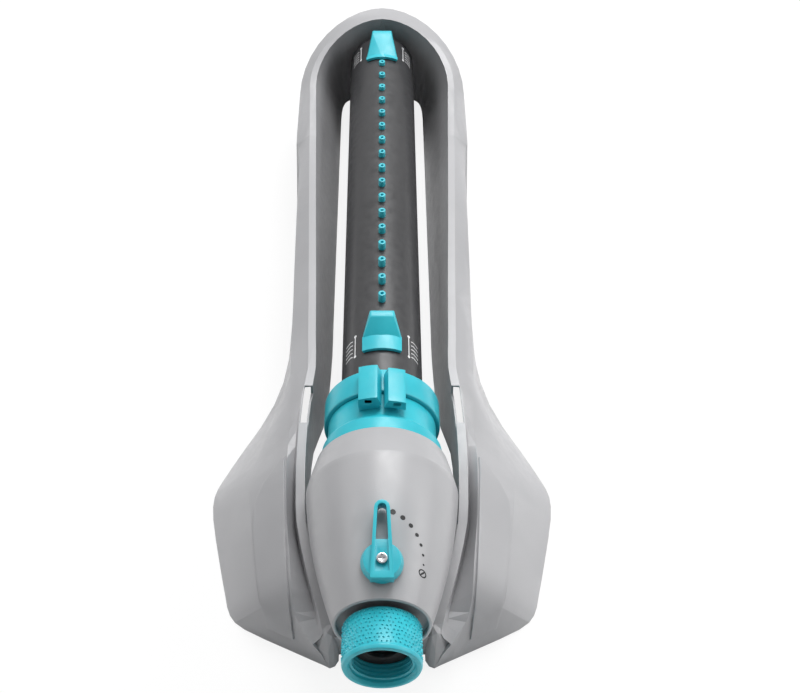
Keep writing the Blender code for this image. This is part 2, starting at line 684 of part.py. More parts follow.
def make_filter():
    """The wire disc that keeps grit out, dished towards the hose, as a pierced disc."""
    holes = 6
    ring = 0.55 * SPIGOT_BORE
    disc = turned("inlet_filter", [(0.4 * MM, 14 * MM), (SPIGOT_BORE - CLEARANCE, 14 * MM),
                                   (SPIGOT_BORE - CLEARANCE, 15.4 * MM), (0.4 * MM, 15.4 * MM)], steel, segments=24)
    for step in range(holes):
        turn = 2 * math.pi * step / holes
        x = ring * math.cos(turn)
        z = AXIS_HEIGHT + ring * math.sin(turn)
        cut(disc, rod("hole", (x, along_y(13 * MM), z), (x, along_y(17 * MM), z), 1.1 * MM, steel, 6))
    return disc


make_filter()


# ---------- motor cover ----------

def make_cover():
    """The egg-shaped cover over the motor, open at the rear, with a bulkhead that the spigot passes through."""
    steps = 11
    places = [COVER_START + (COVER_BEND - COVER_START) * i / steps for i in range(steps + 1)]
    places.append(COVER_END)
    outer = [(cover_radius(d), d) for d in places]
    inner = [(cover_radius(d) - COVER_WALL, d) for d in reversed(places) if d > COVER_START + 8 * MM]
    bulkhead_back = COVER_START + 7 * MM
    bulkhead_front = COVER_START + 4.5 * MM
    inner += [(cover_radius(bulkhead_back) - COVER_WALL, bulkhead_back), (SPIGOT_RADIUS + CLEARANCE, bulkhead_back),
              (SPIGOT_RADIUS + CLEARANCE, bulkhead_front), (cover_radius(bulkhead_front) - COVER_WALL, bulkhead_front),
              (COVER_FRONT_RADIUS - COVER_WALL, COVER_START)]
    cover = turned("motor_cover", outer + inner, grey, segments=40)
    pivot, up, _ = lever_frame()
    cut(cover, rod("hole", pivot + up * 3 * MM, pivot - up * 5 * MM, SPINDLE_RADIUS + RUNNING_GAP, grey))
    boss_bottom = FLOOR_BOTTOM + FLOOR_THICKNESS + CLEARANCE
    for side, place in screw_places():
        wall_height = AXIS_HEIGHT - math.sqrt((cover_radius(place) - COVER_WALL / 2) ** 2 - side**2)
        boss_top = wall_height + 4 * MM
        join(cover, rod("boss", (side, along_y(place), boss_bottom), (side, along_y(place), boss_top),
                        SCREW_RADIUS + 2.4 * MM, grey))
        cut(cover, rod("hole", (side, along_y(place), boss_bottom - 1 * MM), (side, along_y(place), boss_top - 1.2 * MM),
                       SCREW_RADIUS + CLEARANCE, grey))
    return cover


def make_cover_screw(number, side, place):
    y = along_y(place)
    head_bottom = FLOOR_BOTTOM - CLEARANCE - 1.8 * MM
    head_top = FLOOR_BOTTOM - CLEARANCE
    screw = rod(f"cover_screw_{number}", (side, y, head_bottom), (side, y, head_top), SCREW_HEAD_RADIUS, steel, 16)
    wall_height = AXIS_HEIGHT - math.sqrt((cover_radius(place) - COVER_WALL / 2) ** 2 - side**2)
    tip = wall_height + 4 * MM - 1.2 * MM - CLEARANCE
    join(screw, rod("shank", (side, y, head_top - 0.6 * MM), (side, y, tip), SCREW_RADIUS, steel, 12))
    cut(screw, block("slot", (side - 2.6 * MM, y - 0.4 * MM, head_bottom - 1 * MM),
                     (side + 2.6 * MM, y + 0.4 * MM, head_bottom + 0.8 * MM), steel))


make_cover()
for number, (side, place) in enumerate(screw_places(), 1):
    make_cover_screw(number, side, place)


# ---------- water motor and gears ----------

def gear_outline(teeth, module, phase):
    """Points round a spur gear as (angle, radius): straight-sided teeth, thin enough to run with backlash."""
    pitch = teeth * module / 2
    root = pitch - 1.15 * module
    top = pitch + 0.8 * module
    points = []
    for tooth in range(teeth):
        middle = phase + 2 * math.pi * tooth / teeth
        step = 2 * math.pi / teeth
        for share, radius in ((-0.29, root), (-0.12, top), (0.12, top), (0.29, root)):
            points.append((middle + share * step, radius))
    return points


def gear(name, teeth, module, centre, start, width, bore, material, phase=0.0):
    """A spur gear with a round bore, about a line along Y through centre (x, z)."""
    outline = gear_outline(teeth, module, phase)
    bm = bmesh.new()
    loops = []
    for place in (start, start + width):
        y = along_y(place)
        outer = [bm.verts.new((centre[0] + r * math.cos(a), y, centre[1] + r * math.sin(a))) for a, r in outline]
        inner = [bm.verts.new((centre[0] + bore * math.cos(a), y, centre[1] + bore * math.sin(a))) for a, r in outline]
        loops.append((outer, inner))
    (outer_a, inner_a), (outer_b, inner_b) = loops
    count = len(outline)
    for i in range(count):
        j = (i + 1) % count
        bm.faces.new((outer_a[i], outer_a[j], outer_b[j], outer_b[i]))
        bm.faces.new((inner_a[i], inner_b[i], inner_b[j], inner_a[j]))
        bm.faces.new((outer_a[i], inner_a[i], inner_a[j], outer_a[j]))
        bm.faces.new((outer_b[i], outer_b[j], inner_b[j], inner_b[i]))
    return add_mesh(name, bm, material, (centre[0], along_y(start), centre[1]))


def make_turbine():
    """The bladed wheel that the water turns, its shaft and its pinion."""
    start = TURBINE_START
    width = TURBINE_WIDTH
    hub = TURBINE_HUB_RADIUS
    wheel = turned("turbine_wheel", [(0.3 * MM, start), (hub, start), (hub, start + width), (0.3 * MM, start + width)],
                   white, segments=TURBINE_VANES * 2)
    for vane in range(TURBINE_VANES):
        turn = 2 * math.pi * (vane + 0.5) / TURBINE_VANES
        out = Vector((math.cos(turn), 0, math.sin(turn)))
        side = Vector((-math.sin(turn), 0, math.cos(turn))) * 0.5 * MM
        low = Vector((0, along_y(start + 0.8 * MM), AXIS_HEIGHT))
        quad = [low + out * (hub - 0.8 * MM) + side, low + out * TURBINE_RADIUS + side,
                low + out * TURBINE_RADIUS - side, low + out * (hub - 0.8 * MM) - side]
        join(wheel, add_mesh("vane", prism_bmesh(quad, (0, width - 1.6 * MM, 0)), white))
    return wheel


def make_turbine_shaft():
    start = TURBINE_START + TURBINE_WIDTH + CLEARANCE
    end = INPUT_GEARS_START + GEAR_WIDTH + 0.6 * MM
    return rod("turbine_shaft", (0, along_y(start), AXIS_HEIGHT), (0, along_y(end), AXIS_HEIGHT), SHAFT_RADIUS, steel)


def make_gears():
    # A tooth of each pinion points at the idler's centre, and a gap of each wheel faces it.
    gear("turbine_pinion", TURBINE_PINION_TEETH, INPUT_MODULE, (0, AXIS_HEIGHT), INPUT_GEARS_START, GEAR_WIDTH,
         SHAFT_RADIUS + CLEARANCE, white, math.pi)
    gear("idler_wheel", IDLER_WHEEL_TEETH, INPUT_MODULE, IDLER_CENTRE, INPUT_GEARS_START, GEAR_WIDTH,
         IDLER_PIN_RADIUS + 0.4 * MM, white, math.pi / IDLER_WHEEL_TEETH)
    gear("idler_pinion", IDLER_PINION_TEETH, OUTPUT_MODULE, IDLER_CENTRE, OUTPUT_GEARS_START, GEAR_WIDTH,
         IDLER_PIN_RADIUS + 0.4 * MM, white, 0.0)
    gear("output_gear", OUTPUT_TEETH, OUTPUT_MODULE, (0, AXIS_HEIGHT), OUTPUT_GEARS_START, GEAR_WIDTH,
         SLEEVE_RADIUS + CLEARANCE, white, math.pi + math.pi / OUTPUT_TEETH)
    x, z = IDLER_CENTRE
    rod("idler_pin", (x, along_y(GEARBOX_START - 1 * MM), z), (x, along_y(GEARBOX_END + PLATE_THICKNESS + 1 * MM), z),
        IDLER_PIN_RADIUS, steel)


def gearbox_plate(name, start, centre_hole):
    """A round plate across the cover, with a hole on the tube's line and one for the idler's pin."""
    rim = min(cover_radius(start), cover_radius(start + PLATE_THICKNESS)) - COVER_WALL - CLEARANCE
    plate = turned(name, [(centre_hole, start), (rim, start), (rim, start + PLATE_THICKNESS),
                          (centre_hole, start + PLATE_THICKNESS)], charcoal)
    x, z = IDLER_CENTRE
    hole = rod("hole", (x, along_y(start - 1 * MM), z), (x, along_y(start + PLATE_THICKNESS + 1 * MM), z),
               IDLER_PIN_RADIUS + CLEARANCE, charcoal)
    return cut(plate, hole)


make_turbine()
make_turbine_shaft()
make_gears()
gearbox_plate("gearbox_front_plate", GEARBOX_START, SHAFT_RADIUS + CLEARANCE)
gearbox_plate("gearbox_rear_plate", GEARBOX_END, SLEEVE_RADIUS + 3 * MM)
bush_outer = SLEEVE_RADIUS + 3 * MM - CLEARANCE
turned("near_bearing", [(SLEEVE_RADIUS + CLEARANCE, GEARBOX_END - 0.2 * MM), (bush_outer, GEARBOX_END - 0.2 * MM),
                        (bush_outer, GEARBOX_END + PLATE_THICKNESS + CLEARANCE),
                        (bush_outer + 2 * MM, GEARBOX_END + PLATE_THICKNESS + CLEARANCE),
                        (bush_outer + 2 * MM, GEARBOX_END + PLATE_THICKNESS + 1.8 * MM),
                        (SLEEVE_RADIUS + CLEARANCE, GEARBOX_END + PLATE_THICKNESS + 1.8 * MM)], white, segments=32)


def make_drive_hub():
    """The hollow sleeve that carries the output gear and feeds water into the tube, with its plug in the tube's end."""
    front = OUTPUT_GEARS_START - 0.8 * MM
    flange = TUBE_RADIUS - TUBE_WALL - CLEARANCE
    profile = [(SLEEVE_BORE, front), (SLEEVE_RADIUS, front), (SLEEVE_RADIUS, TUBE_START + 1 * MM),
               (flange, TUBE_START + 1 * MM), (flange, TUBE_START + 6 * MM), (SLEEVE_BORE, TUBE_START + 6 * MM)]
    return turned("tube_drive_hub", profile, charcoal, segments=32)


def make_trip_lever():
    """The reversing lever: a ring about the tube's line with an arm up to where the range tabs pass."""
    start = GEARBOX_END + PLATE_THICKNESS + 2.4 * MM
    width = 2.2 * MM
    ring = turned("trip_lever", [(SLEEVE_RADIUS + RUNNING_GAP, start), (SLEEVE_RADIUS + 3.6 * MM, start),
                                 (SLEEVE_RADIUS + 3.6 * MM, start + width), (SLEEVE_RADIUS + RUNNING_GAP, start + width)],
                  charcoal, segments=32)
    base = AXIS_HEIGHT + SLEEVE_RADIUS + 2.4 * MM
    top = AXIS_HEIGHT + cover_radius(start + width) - COVER_WALL - 2.6 * MM
    join(ring, block("arm", (-2.2 * MM, along_y(start + 0.2 * MM), base), (2.2 * MM, along_y(start + width - 0.2 * MM), top),
                     charcoal))
    return ring


make_drive_hub()
make_trip_lever()


# ---------- spray tube ----------

def nozzle_places():
    return [NOZZLE_FIRST + NOZZLE_PITCH * i for i in range(NOZZLE_COUNT)]


def slider_middles():
    return SLIDER_NEAR + SLIDER_LENGTH / 2, SLIDER_FAR - SLIDER_LENGTH / 2


def make_tube():
    """The spray tube, with a hole for each nozzle and a slot under each width slider."""
    inner = TUBE_RADIUS - TUBE_WALL
    tube = turned("spray_tube", [(inner, TUBE_START), (TUBE_RADIUS, TUBE_START), (TUBE_RADIUS, TUBE_END),
                                 (inner, TUBE_END)], charcoal)
    holes = []
    for place in nozzle_places():
        y = along_y(place)
        holes.append(rod_bmesh((0, y, AXIS_HEIGHT + inner - 3 * MM), (0, y, AXIS_HEIGHT + TUBE_RADIUS + 3 * MM),
                               NOZZLE_RADIUS + CLEARANCE, 8))
    for middle, travel in zip(slider_middles(), (NEAR_TRAVEL, FAR_TRAVEL)):
        slot_half = STEM_HALF_LENGTH + travel + 2 * CLEARANCE
        holes.append(block_bmesh((-STEM_HALF_WIDTH - CLEARANCE, along_y(middle - slot_half), AXIS_HEIGHT + inner - 3 * MM),
                                 (STEM_HALF_WIDTH + CLEARANCE, along_y(middle + slot_half), AXIS_HEIGHT + TUBE_RADIUS + 3 * MM)))
    return cut(tube, add_mesh("holes", merged(holes), charcoal))


def make_nozzle_strip():
    """The one-piece strip of nozzles that is pushed through the tube's holes from inside."""
    inner = TUBE_RADIUS - TUBE_WALL
    top = AXIS_HEIGHT + math.sqrt(inner**2 - STRIP_HALF_WIDTH**2) - CLEARANCE
    places = nozzle_places()
    end = 4 * MM
    strip = block("nozzle_strip", (-STRIP_HALF_WIDTH, along_y(places[0] - end), top - STRIP_THICKNESS),
                  (STRIP_HALF_WIDTH, along_y(places[-1] + end), top), teal)
    stubs = []
    bores = []
    for i, place in enumerate(places):
        share = i / (NOZZLE_COUNT - 1)
        rise = NOZZLE_RISE_NEAR + (NOZZLE_RISE_FAR - NOZZLE_RISE_NEAR) * share
        y = along_y(place)
        tip = AXIS_HEIGHT + TUBE_RADIUS + rise
        stubs.append(rod_bmesh((0, y, top - STRIP_THICKNESS / 2), (0, y, tip), NOZZLE_RADIUS, 8))
        bores.append(rod_bmesh((0, y, top - STRIP_THICKNESS - 1 * MM), (0, y, tip + 1 * MM), NOZZLE_BORE, 6))
    join(strip, add_mesh("stubs", merged(stubs), teal))
    return cut(strip, add_mesh("bores", merged(bores), teal))


def make_slider(name, middle, apron):
    """A width slider: a curved saddle on the tube, a wedge that rises to a narrow crest, and a stem down the slot.

    The saddle shows in front of the wedge by the share `apron` of the slider's length.
    """
    saddle_inner = TUBE_RADIUS + 0.4 * MM
    saddle_outer = TUBE_RADIUS + 2.2 * MM
    half = SLIDER_LENGTH / 2
    spread = math.asin(SLIDER_HALF_WIDTH / saddle_outer)
    arc = []
    steps = 10
    for radius, way in ((saddle_outer, 1), (saddle_inner, -1)):
        for i in range(steps + 1):
            turn = way * spread * (2 * i / steps - 1)
            arc.append((radius * math.sin(turn), AXIS_HEIGHT + radius * math.cos(turn)))
    y = along_y(middle)
    saddle_end = half * (2 * apron + 0.1) + 1 * MM
    slider = add_mesh(name, prism_bmesh([(x, y - half, z) for x, z in arc], (0, saddle_end, 0)), teal, (0, y, AXIS_HEIGHT))

    crest = AXIS_HEIGHT + TUBE_RADIUS + SLIDER_CREST_RISE
    foot_half = SLIDER_HALF_WIDTH - 0.3 * MM
    crest_half = SLIDER_CREST_HALF_WIDTH
    face_foot = 2 * apron - 0.94
    corners = []
    for side in (-1, 1):
        for x, run, z in ((foot_half, face_foot, 0.0), (foot_half, face_foot + 0.25, 0.0), (crest_half + 1 * MM, 0.97, 0.0),
                          (crest_half, 0.52, crest - 0.5 * MM), (crest_half - 0.7 * MM, 0.6, crest),
                          (crest_half - 0.7 * MM, 0.95, crest), (crest_half, 0.97, crest - 0.5 * MM)):
            foot = AXIS_HEIGHT + math.sqrt(saddle_outer**2 - x**2) - 0.5 * MM
            corners.append((side * x, y + half * run, z or foot))
    for run in (face_foot, 0.97):
        corners.append((0, y + half * run, AXIS_HEIGHT + TUBE_RADIUS + 1.6 * MM))
    wedge = add_mesh("wedge", hull_bmesh(corners), teal)
    cut(wedge, rod("tube", (0, y - 2 * half, AXIS_HEIGHT), (0, y + 2 * half, AXIS_HEIGHT), TUBE_RADIUS + 0.7 * MM, teal, 72))
    join(slider, wedge)
    stem = block("stem", (-STEM_HALF_WIDTH, y - STEM_HALF_LENGTH, clip_top() + CLEARANCE),
                 (STEM_HALF_WIDTH, y + STEM_HALF_LENGTH, AXIS_HEIGHT + TUBE_RADIUS + 1.4 * MM), teal)
    return join(slider, stem)


def clip_top():
    """Top of the clip plate inside the tube, under the wall's lowest reach over the plate's width."""
    inner = TUBE_RADIUS - TUBE_WALL
    return AXIS_HEIGHT + math.sqrt(inner**2 - CLIP_HALF_WIDTH**2) - CLEARANCE


def make_clip(name, middle):
    """The plate inside the tube that holds a slider down and shuts off the nozzles beside it."""
    y = along_y(middle)
    top = clip_top()
    return block(name, (-CLIP_HALF_WIDTH, y - CLIP_HALF_LENGTH, top - CLIP_THICKNESS),
                 (CLIP_HALF_WIDTH, y + CLIP_HALF_LENGTH, top), white)


make_tube()
make_nozzle_strip()
near_middle, far_middle = slider_middles()
make_slider("near_width_slider", near_middle, 0.38)
make_slider("far_width_slider", far_middle, 0.04)
make_clip("near_slider_clip", near_middle)
make_clip("far_slider_clip", far_middle)


# ---------- range collars ----------

def make_tab(name, inner, outer, start, bottom, flare=0.0):
    """A range tab between two X, with its top on a circle about the tube's line and its inner side leaning out below."""
    steps = 4
    low_inner = inner - flare * math.copysign(1, outer - inner)
    arc = []
    for i in range(steps + 1):
        x = inner + (outer - inner) * i / steps
        arc.append((x, AXIS_HEIGHT + math.sqrt(TAB_RADIUS**2 - x**2)))
    for i in range(steps + 1):
        x = outer + (low_inner - outer) * i / steps
        arc.append((x, AXIS_HEIGHT + math.sqrt(bottom**2 - x**2)))
    return add_mesh(name, prism_bmesh([(x, along_y(start), z) for x, z in arc], (0, TAB_LENGTH, 0)), teal)


def make_collars():
    bore = TUBE_RADIUS + CLEARANCE
    gap = CLEARANCE
    front_end = REAR_COLLAR_START - gap
    front = turned("front_limit_collar", [
        (bore, FRONT_COLLAR_START), (COLLAR_FLANGE_RADIUS - 1 * MM, FRONT_COLLAR_START),
        (COLLAR_FLANGE_RADIUS, FRONT_COLLAR_START + 1 * MM), (COLLAR_FLANGE_RADIUS, FRONT_COLLAR_START + 9 * MM),
        (COLLAR_NECK_RADIUS, FRONT_COLLAR_START + 12 * MM), (COLLAR_NECK_RADIUS, front_end), (bore, front_end)], teal)
    rear = turned("rear_limit_collar", [
        (bore, REAR_COLLAR_START), (REAR_COLLAR_RADIUS - 1 * MM, REAR_COLLAR_START),
        (REAR_COLLAR_RADIUS, REAR_COLLAR_START + 1 * MM), (REAR_COLLAR_RADIUS, REAR_COLLAR_END - 1.5 * MM),
        (REAR_COLLAR_RADIUS - 1.5 * MM, REAR_COLLAR_END), (bore, REAR_COLLAR_END)], teal)
    # Each tab stands on its own collar and passes over the other.
    wide = 2 * TAB_RADIUS
    left = make_tab("left_tab", -2.4 * MM, -12 * MM, 131 * MM, REAR_COLLAR_RADIUS + 0.6 * MM, TAB_FLARE)
    left_foot = make_tab("left_foot", -2.4 * MM, -11.6 * MM, 131.4 * MM, COLLAR_NECK_RADIUS - 2 * MM, TAB_FLARE - 0.4 * MM)
    cut(left_foot, block("trim", (-wide, along_y(front_end), 0), (wide, along_y(front_end + TAB_LENGTH), 2 * wide), teal))
    join(left, left_foot)
    join(front, left)
    right = make_tab("right_tab", 3.2 * MM, 12 * MM, 129 * MM, COLLAR_FLANGE_RADIUS + 0.6 * MM, TAB_FLARE)
    right_foot = make_tab("right_foot", 3.2 * MM, 11.6 * MM, 129.4 * MM, COLLAR_NECK_RADIUS, TAB_FLARE - 0.4 * MM)
    cut(right_foot, block("trim", (-wide, along_y(100 * MM), 0), (wide, along_y(REAR_COLLAR_START), 2 * wide), teal))
    join(right, right_foot)
    join(rear, right)
    # The small square hole in each tab's front end.
    for collar, middle, place in ((front, -7 * MM, 131 * MM), (rear, 7.6 * MM, 129 * MM)):
        top = AXIS_HEIGHT + TAB_RADIUS - 2.6 * MM
        cut(collar, block("hole", (middle - 1.6 * MM, along_y(place - 1 * MM), top - 1.9 * MM),
                          (middle + 1.6 * MM, along_y(place + 5 * MM), top), teal))


make_collars()


# ---------- far end of the tube ----------

def make_end_cap():
    """The cap in the tube's far end, with the pin that turns in the hoop."""
    plug = TUBE_RADIUS - TUBE_WALL - CLEARANCE
    return turned("tube_end_cap", [
        (0.4 * MM, TUBE_END - 6 * MM), (plug, TUBE_END - 6 * MM), (plug, TUBE_END + CLEARANCE),
        (TUBE_RADIUS, TUBE_END + CLEARANCE), (TUBE_RADIUS - 0.6 * MM, TUBE_END + 2 * MM), (PIN_RADIUS, TUBE_END + 2 * MM),
        (PIN_RADIUS, far_wall() + 5.4 * MM), (0.4 * MM, far_wall() + 5.4 * MM)], charcoal, segments=32)


def make_far_bearing():
    wall = far_wall()
    bore = PIN_RADIUS + CLEARANCE
    rim = BUSH_RADIUS + 1.2 * MM
    return turned("far_bearing", [
        (bore, wall - 5 * MM), (rim, wall - 5 * MM), (rim, wall - 3.4 * MM), (BUSH_RADIUS, wall - 3.4 * MM),
        (BUSH_RADIUS, wall + 5 * MM), (bore, wall + 5 * MM)], white, segments=32)


make_end_cap()
make_far_bearing()
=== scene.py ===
import json
import math
import random

import bpy
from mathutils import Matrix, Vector

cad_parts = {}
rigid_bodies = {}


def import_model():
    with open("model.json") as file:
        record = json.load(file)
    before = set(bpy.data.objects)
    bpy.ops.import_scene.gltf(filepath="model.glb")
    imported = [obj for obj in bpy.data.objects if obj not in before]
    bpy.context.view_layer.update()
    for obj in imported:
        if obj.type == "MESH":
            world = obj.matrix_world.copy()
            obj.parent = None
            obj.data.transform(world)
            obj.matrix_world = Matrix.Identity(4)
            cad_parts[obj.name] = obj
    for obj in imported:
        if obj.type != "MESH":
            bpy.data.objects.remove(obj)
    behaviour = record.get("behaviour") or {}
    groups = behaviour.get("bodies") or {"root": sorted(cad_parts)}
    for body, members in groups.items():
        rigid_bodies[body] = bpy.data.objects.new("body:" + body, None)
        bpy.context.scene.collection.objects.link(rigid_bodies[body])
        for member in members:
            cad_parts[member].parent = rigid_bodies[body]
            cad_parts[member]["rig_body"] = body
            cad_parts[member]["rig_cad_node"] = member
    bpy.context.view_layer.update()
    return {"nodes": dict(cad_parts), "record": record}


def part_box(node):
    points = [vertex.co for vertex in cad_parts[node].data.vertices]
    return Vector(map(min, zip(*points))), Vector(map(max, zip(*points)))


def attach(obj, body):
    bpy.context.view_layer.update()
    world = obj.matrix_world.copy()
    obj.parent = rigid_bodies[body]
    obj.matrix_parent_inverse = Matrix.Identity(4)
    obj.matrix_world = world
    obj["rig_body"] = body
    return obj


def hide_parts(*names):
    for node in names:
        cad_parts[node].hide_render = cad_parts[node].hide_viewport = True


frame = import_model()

mm = 0.001
scene = bpy.context.scene
scene.view_settings.view_transform = "Standard"
tubeLow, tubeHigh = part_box("spray_tube")
axisZ = (tubeLow.z + tubeHigh.z) / 2
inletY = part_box("hose_nut")[0].y        # front face of the hose nut
print("frame loaded")


# Y of a place given in mm from the inlet's front face
def alongY(place):
    return inletY + place * mm


# small modelling helpers

def pickOnly(item):
    if bpy.context.object and bpy.context.object.mode != "OBJECT":
        bpy.ops.object.mode_set(mode="OBJECT")
    bpy.ops.object.select_all(action="DESELECT")
    item.select_set(True)
    bpy.context.view_layer.objects.active = item


def openEdit(item):
    pickOnly(item)
    bpy.ops.object.mode_set(mode="EDIT")
    bpy.ops.mesh.select_all(action="SELECT")


def closeEdit():
    bpy.ops.object.mode_set(mode="OBJECT")


def bakePlace(item):
    pickOnly(item)
    bpy.ops.object.transform_apply(location=True, rotation=True, scale=True)


def applyModifiers(item):
    pickOnly(item)
    for modifier in list(item.modifiers):
        bpy.ops.object.modifier_apply(modifier=modifier.name)


def softenEdges(item, width, segments, limit):
    bevel = item.modifiers.new("softEdge", "BEVEL")
    bevel.width = width
    bevel.segments = segments
    bevel.limit_method = "ANGLE"
    bevel.angle_limit = math.radians(limit)
    bevel.use_clamp_overlap = True
    applyModifiers(item)


def smoothShade(item, limit):
    pickOnly(item)
    bpy.ops.object.shade_smooth_by_angle(angle=math.radians(limit))


def joinAll(items, name):
    pickOnly(items[0])
    for item in items[1:]:
        item.select_set(True)
    bpy.ops.object.join()
    whole = bpy.context.object
    whole.name = name
    whole.data.name = name
    return whole


def cutWith(item, other):
    step = item.modifiers.new("step", "BOOLEAN")
    step.operation = "DIFFERENCE"
    step.object = other
    applyModifiers(item)
    bpy.data.objects.remove(other)


# a closed outline of (radius, place) in mm, spun round the tube's line
def turnedPiece(name, outline, steps):
    bpy.ops.object.select_all(action="DESELECT")
    bpy.ops.mesh.primitive_circle_add(vertices=len(outline), radius=0.01)
    item = bpy.context.object
    item.name = name
    item.data.name = name
    for vertex, (radius, place) in zip(item.data.vertices, outline):
        vertex.co = (0, alongY(place), axisZ + radius * mm)
    openEdit(item)
    bpy.ops.mesh.spin(steps=steps, angle=2 * math.pi, center=(0, 0, axisZ), axis=(0, 1, 0))
    bpy.ops.mesh.select_all(action="SELECT")
    bpy.ops.mesh.remove_doubles(threshold=0.00001)
    bpy.ops.mesh.normals_make_consistent(inside=False)
    closeEdit()
    return item


# a merged copy of a CAD node, with its flat faces whole again, ready to be softened
def cadCopy(node, name):
    source = frame["nodes"][node]
    item = source.copy()
    item.data = source.data.copy()
    item.parent = None
    item.name = name
    item.data.name = name
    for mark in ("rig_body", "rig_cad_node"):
        if mark in item:
            del item[mark]
    scene.collection.objects.link(item)
    openEdit(item)
    bpy.ops.mesh.remove_doubles(threshold=0.000002)
    bpy.ops.mesh.dissolve_limited(angle_limit=math.radians(0.6))
    closeEdit()
    return item


def finishPiece(item, body, slot, material, *nodes):
    item.data.materials.clear()
    item.data.materials.append(material)
    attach(item, body)
    if nodes:
        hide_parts(*nodes)


# materials

greyFinish = {"light": (0.40, 0.40, 0.412), "shade": (0.345, 0.345, 0.357), "worn": (0.56, 0.56, 0.57),
              "mottle": 14, "grain": 1500, "grainDepth": 0.00006, "rough": (0.30, 0.42), "wear": 0.45}
tealFinish = {"light": (0.030, 0.50, 0.59), "shade": (0.018, 0.42, 0.51), "worn": (0.22, 0.70, 0.78),
              "mottle": 40, "grain": 1900, "grainDepth": 0.00004, "rough": (0.30, 0.42), "wear": 0.35}
charcoalFinish = {"light": (0.034, 0.034, 0.036), "shade": (0.024, 0.024, 0.026),
                  "worn": (0.14, 0.14, 0.145), "mottle": 24, "grain": 1700, "grainDepth": 0.00005,
                  "rough": (0.28, 0.42), "wear": 0.4}
acetalFinish = {"light": (0.76, 0.76, 0.73), "shade": (0.66, 0.66, 0.62), "worn": (0.85, 0.85, 0.83),
                "mottle": 60, "grain": 2200, "grainDepth": 0.00003, "rough": (0.32, 0.45), "wear": 0.3}
rubberFinish = {"light": (0.030, 0.030, 0.031), "shade": (0.018, 0.018, 0.019), "worn": (0.07, 0.07, 0.07),
                "mottle": 80, "grain": 2600, "grainDepth": 0.00006, "rough": (0.6, 0.78), "wear": 0.3}
inkFinish = {"light": (0.012, 0.012, 0.013), "shade": (0.007, 0.007, 0.008), "worn": (0.03, 0.03, 0.03),
             "mottle": 200, "grain": 3000, "grainDepth": 0.00001, "rough": (0.45, 0.6), "wear": 0.1}
whiteInkFinish = {"light": (0.80, 0.80, 0.80), "shade": (0.68, 0.68, 0.69), "worn": (0.55, 0.55, 0.56),
                  "mottle": 300, "grain": 3000, "grainDepth": 0.00001, "rough": (0.45, 0.6), "wear": 0.1}
steelFinish = {"light": (0.66, 0.66, 0.68), "shade": (0.52, 0.52, 0.54), "grain": 900,
               "grainDepth": 0.00002, "rough": (0.18, 0.32)}


# moulded plastic: a slow change of shade, a fine spark-eroded grain, rubbed edges and uneven gloss
def mouldedPlastic(name, finish):
    material = bpy.data.materials.new(name)
    material.use_nodes = True
    nodes = material.node_tree.nodes
    links = material.node_tree.links
    shader = nodes["Principled BSDF"]
    place = nodes.new("ShaderNodeTexCoord")

    slow = nodes.new("ShaderNodeTexNoise")
    slow.inputs["Scale"].default_value = finish["mottle"]
    slow.inputs["Detail"].default_value = 3
    links.new(place.outputs["Object"], slow.inputs["Vector"])
    shades = nodes.new("ShaderNodeValToRGB")
    shades.color_ramp.elements[0].position = 0.32
    shades.color_ramp.elements[0].color = (*finish["shade"], 1)
    shades.color_ramp.elements[1].position = 0.68
    shades.color_ramp.elements[1].color = (*finish["light"], 1)
    links.new(slow.outputs["Fac"], shades.inputs["Fac"])

    shape = nodes.new("ShaderNodeNewGeometry")   # rubbed edges, broken up by a noise
    edges = nodes.new("ShaderNodeMapRange")
    edges.inputs["From Min"].default_value = 0.52
    edges.inputs["From Max"].default_value = 0.62
    edges.inputs["To Max"].default_value = finish["wear"]
    links.new(shape.outputs["Pointiness"], edges.inputs["Value"])
    rub = nodes.new("ShaderNodeTexNoise")
    rub.inputs["Scale"].default_value = 220
    rub.inputs["Detail"].default_value = 4
    links.new(place.outputs["Object"], rub.inputs["Vector"])
    worn = nodes.new("ShaderNodeMath")
    worn.operation = "MULTIPLY"
    links.new(edges.outputs["Result"], worn.inputs[0])
    links.new(rub.outputs["Fac"], worn.inputs[1])
    colour = nodes.new("ShaderNodeMix")
    colour.data_type = "RGBA"
    colour.inputs["B"].default_value = (*finish["worn"], 1)
    links.new(worn.outputs["Value"], colour.inputs["Factor"])
    links.new(shades.outputs["Color"], colour.inputs["A"])
    links.new(colour.outputs["Result"], shader.inputs["Base Color"])

    gloss = nodes.new("ShaderNodeMapRange")
    gloss.inputs["From Min"].default_value = 0.35
    gloss.inputs["From Max"].default_value = 0.65
    gloss.inputs["To Min"].default_value = finish["rough"][0]
    gloss.inputs["To Max"].default_value = finish["rough"][1]
    links.new(rub.outputs["Fac"], gloss.inputs["Value"])
    links.new(gloss.outputs["Result"], shader.inputs["Roughness"])

    grain = nodes.new("ShaderNodeTexNoise")
    grain.inputs["Scale"].default_value = finish["grain"]
    grain.inputs["Detail"].default_value = 2
    links.new(place.outputs["Object"], grain.inputs["Vector"])
    relief = nodes.new("ShaderNodeBump")
    relief.inputs["Strength"].default_value = 0.5
    relief.inputs["Distance"].default_value = finish["grainDepth"]
    links.new(grain.outputs["Fac"], relief.inputs["Height"])
    links.new(relief.outputs["Normal"], shader.inputs["Normal"])
    return material


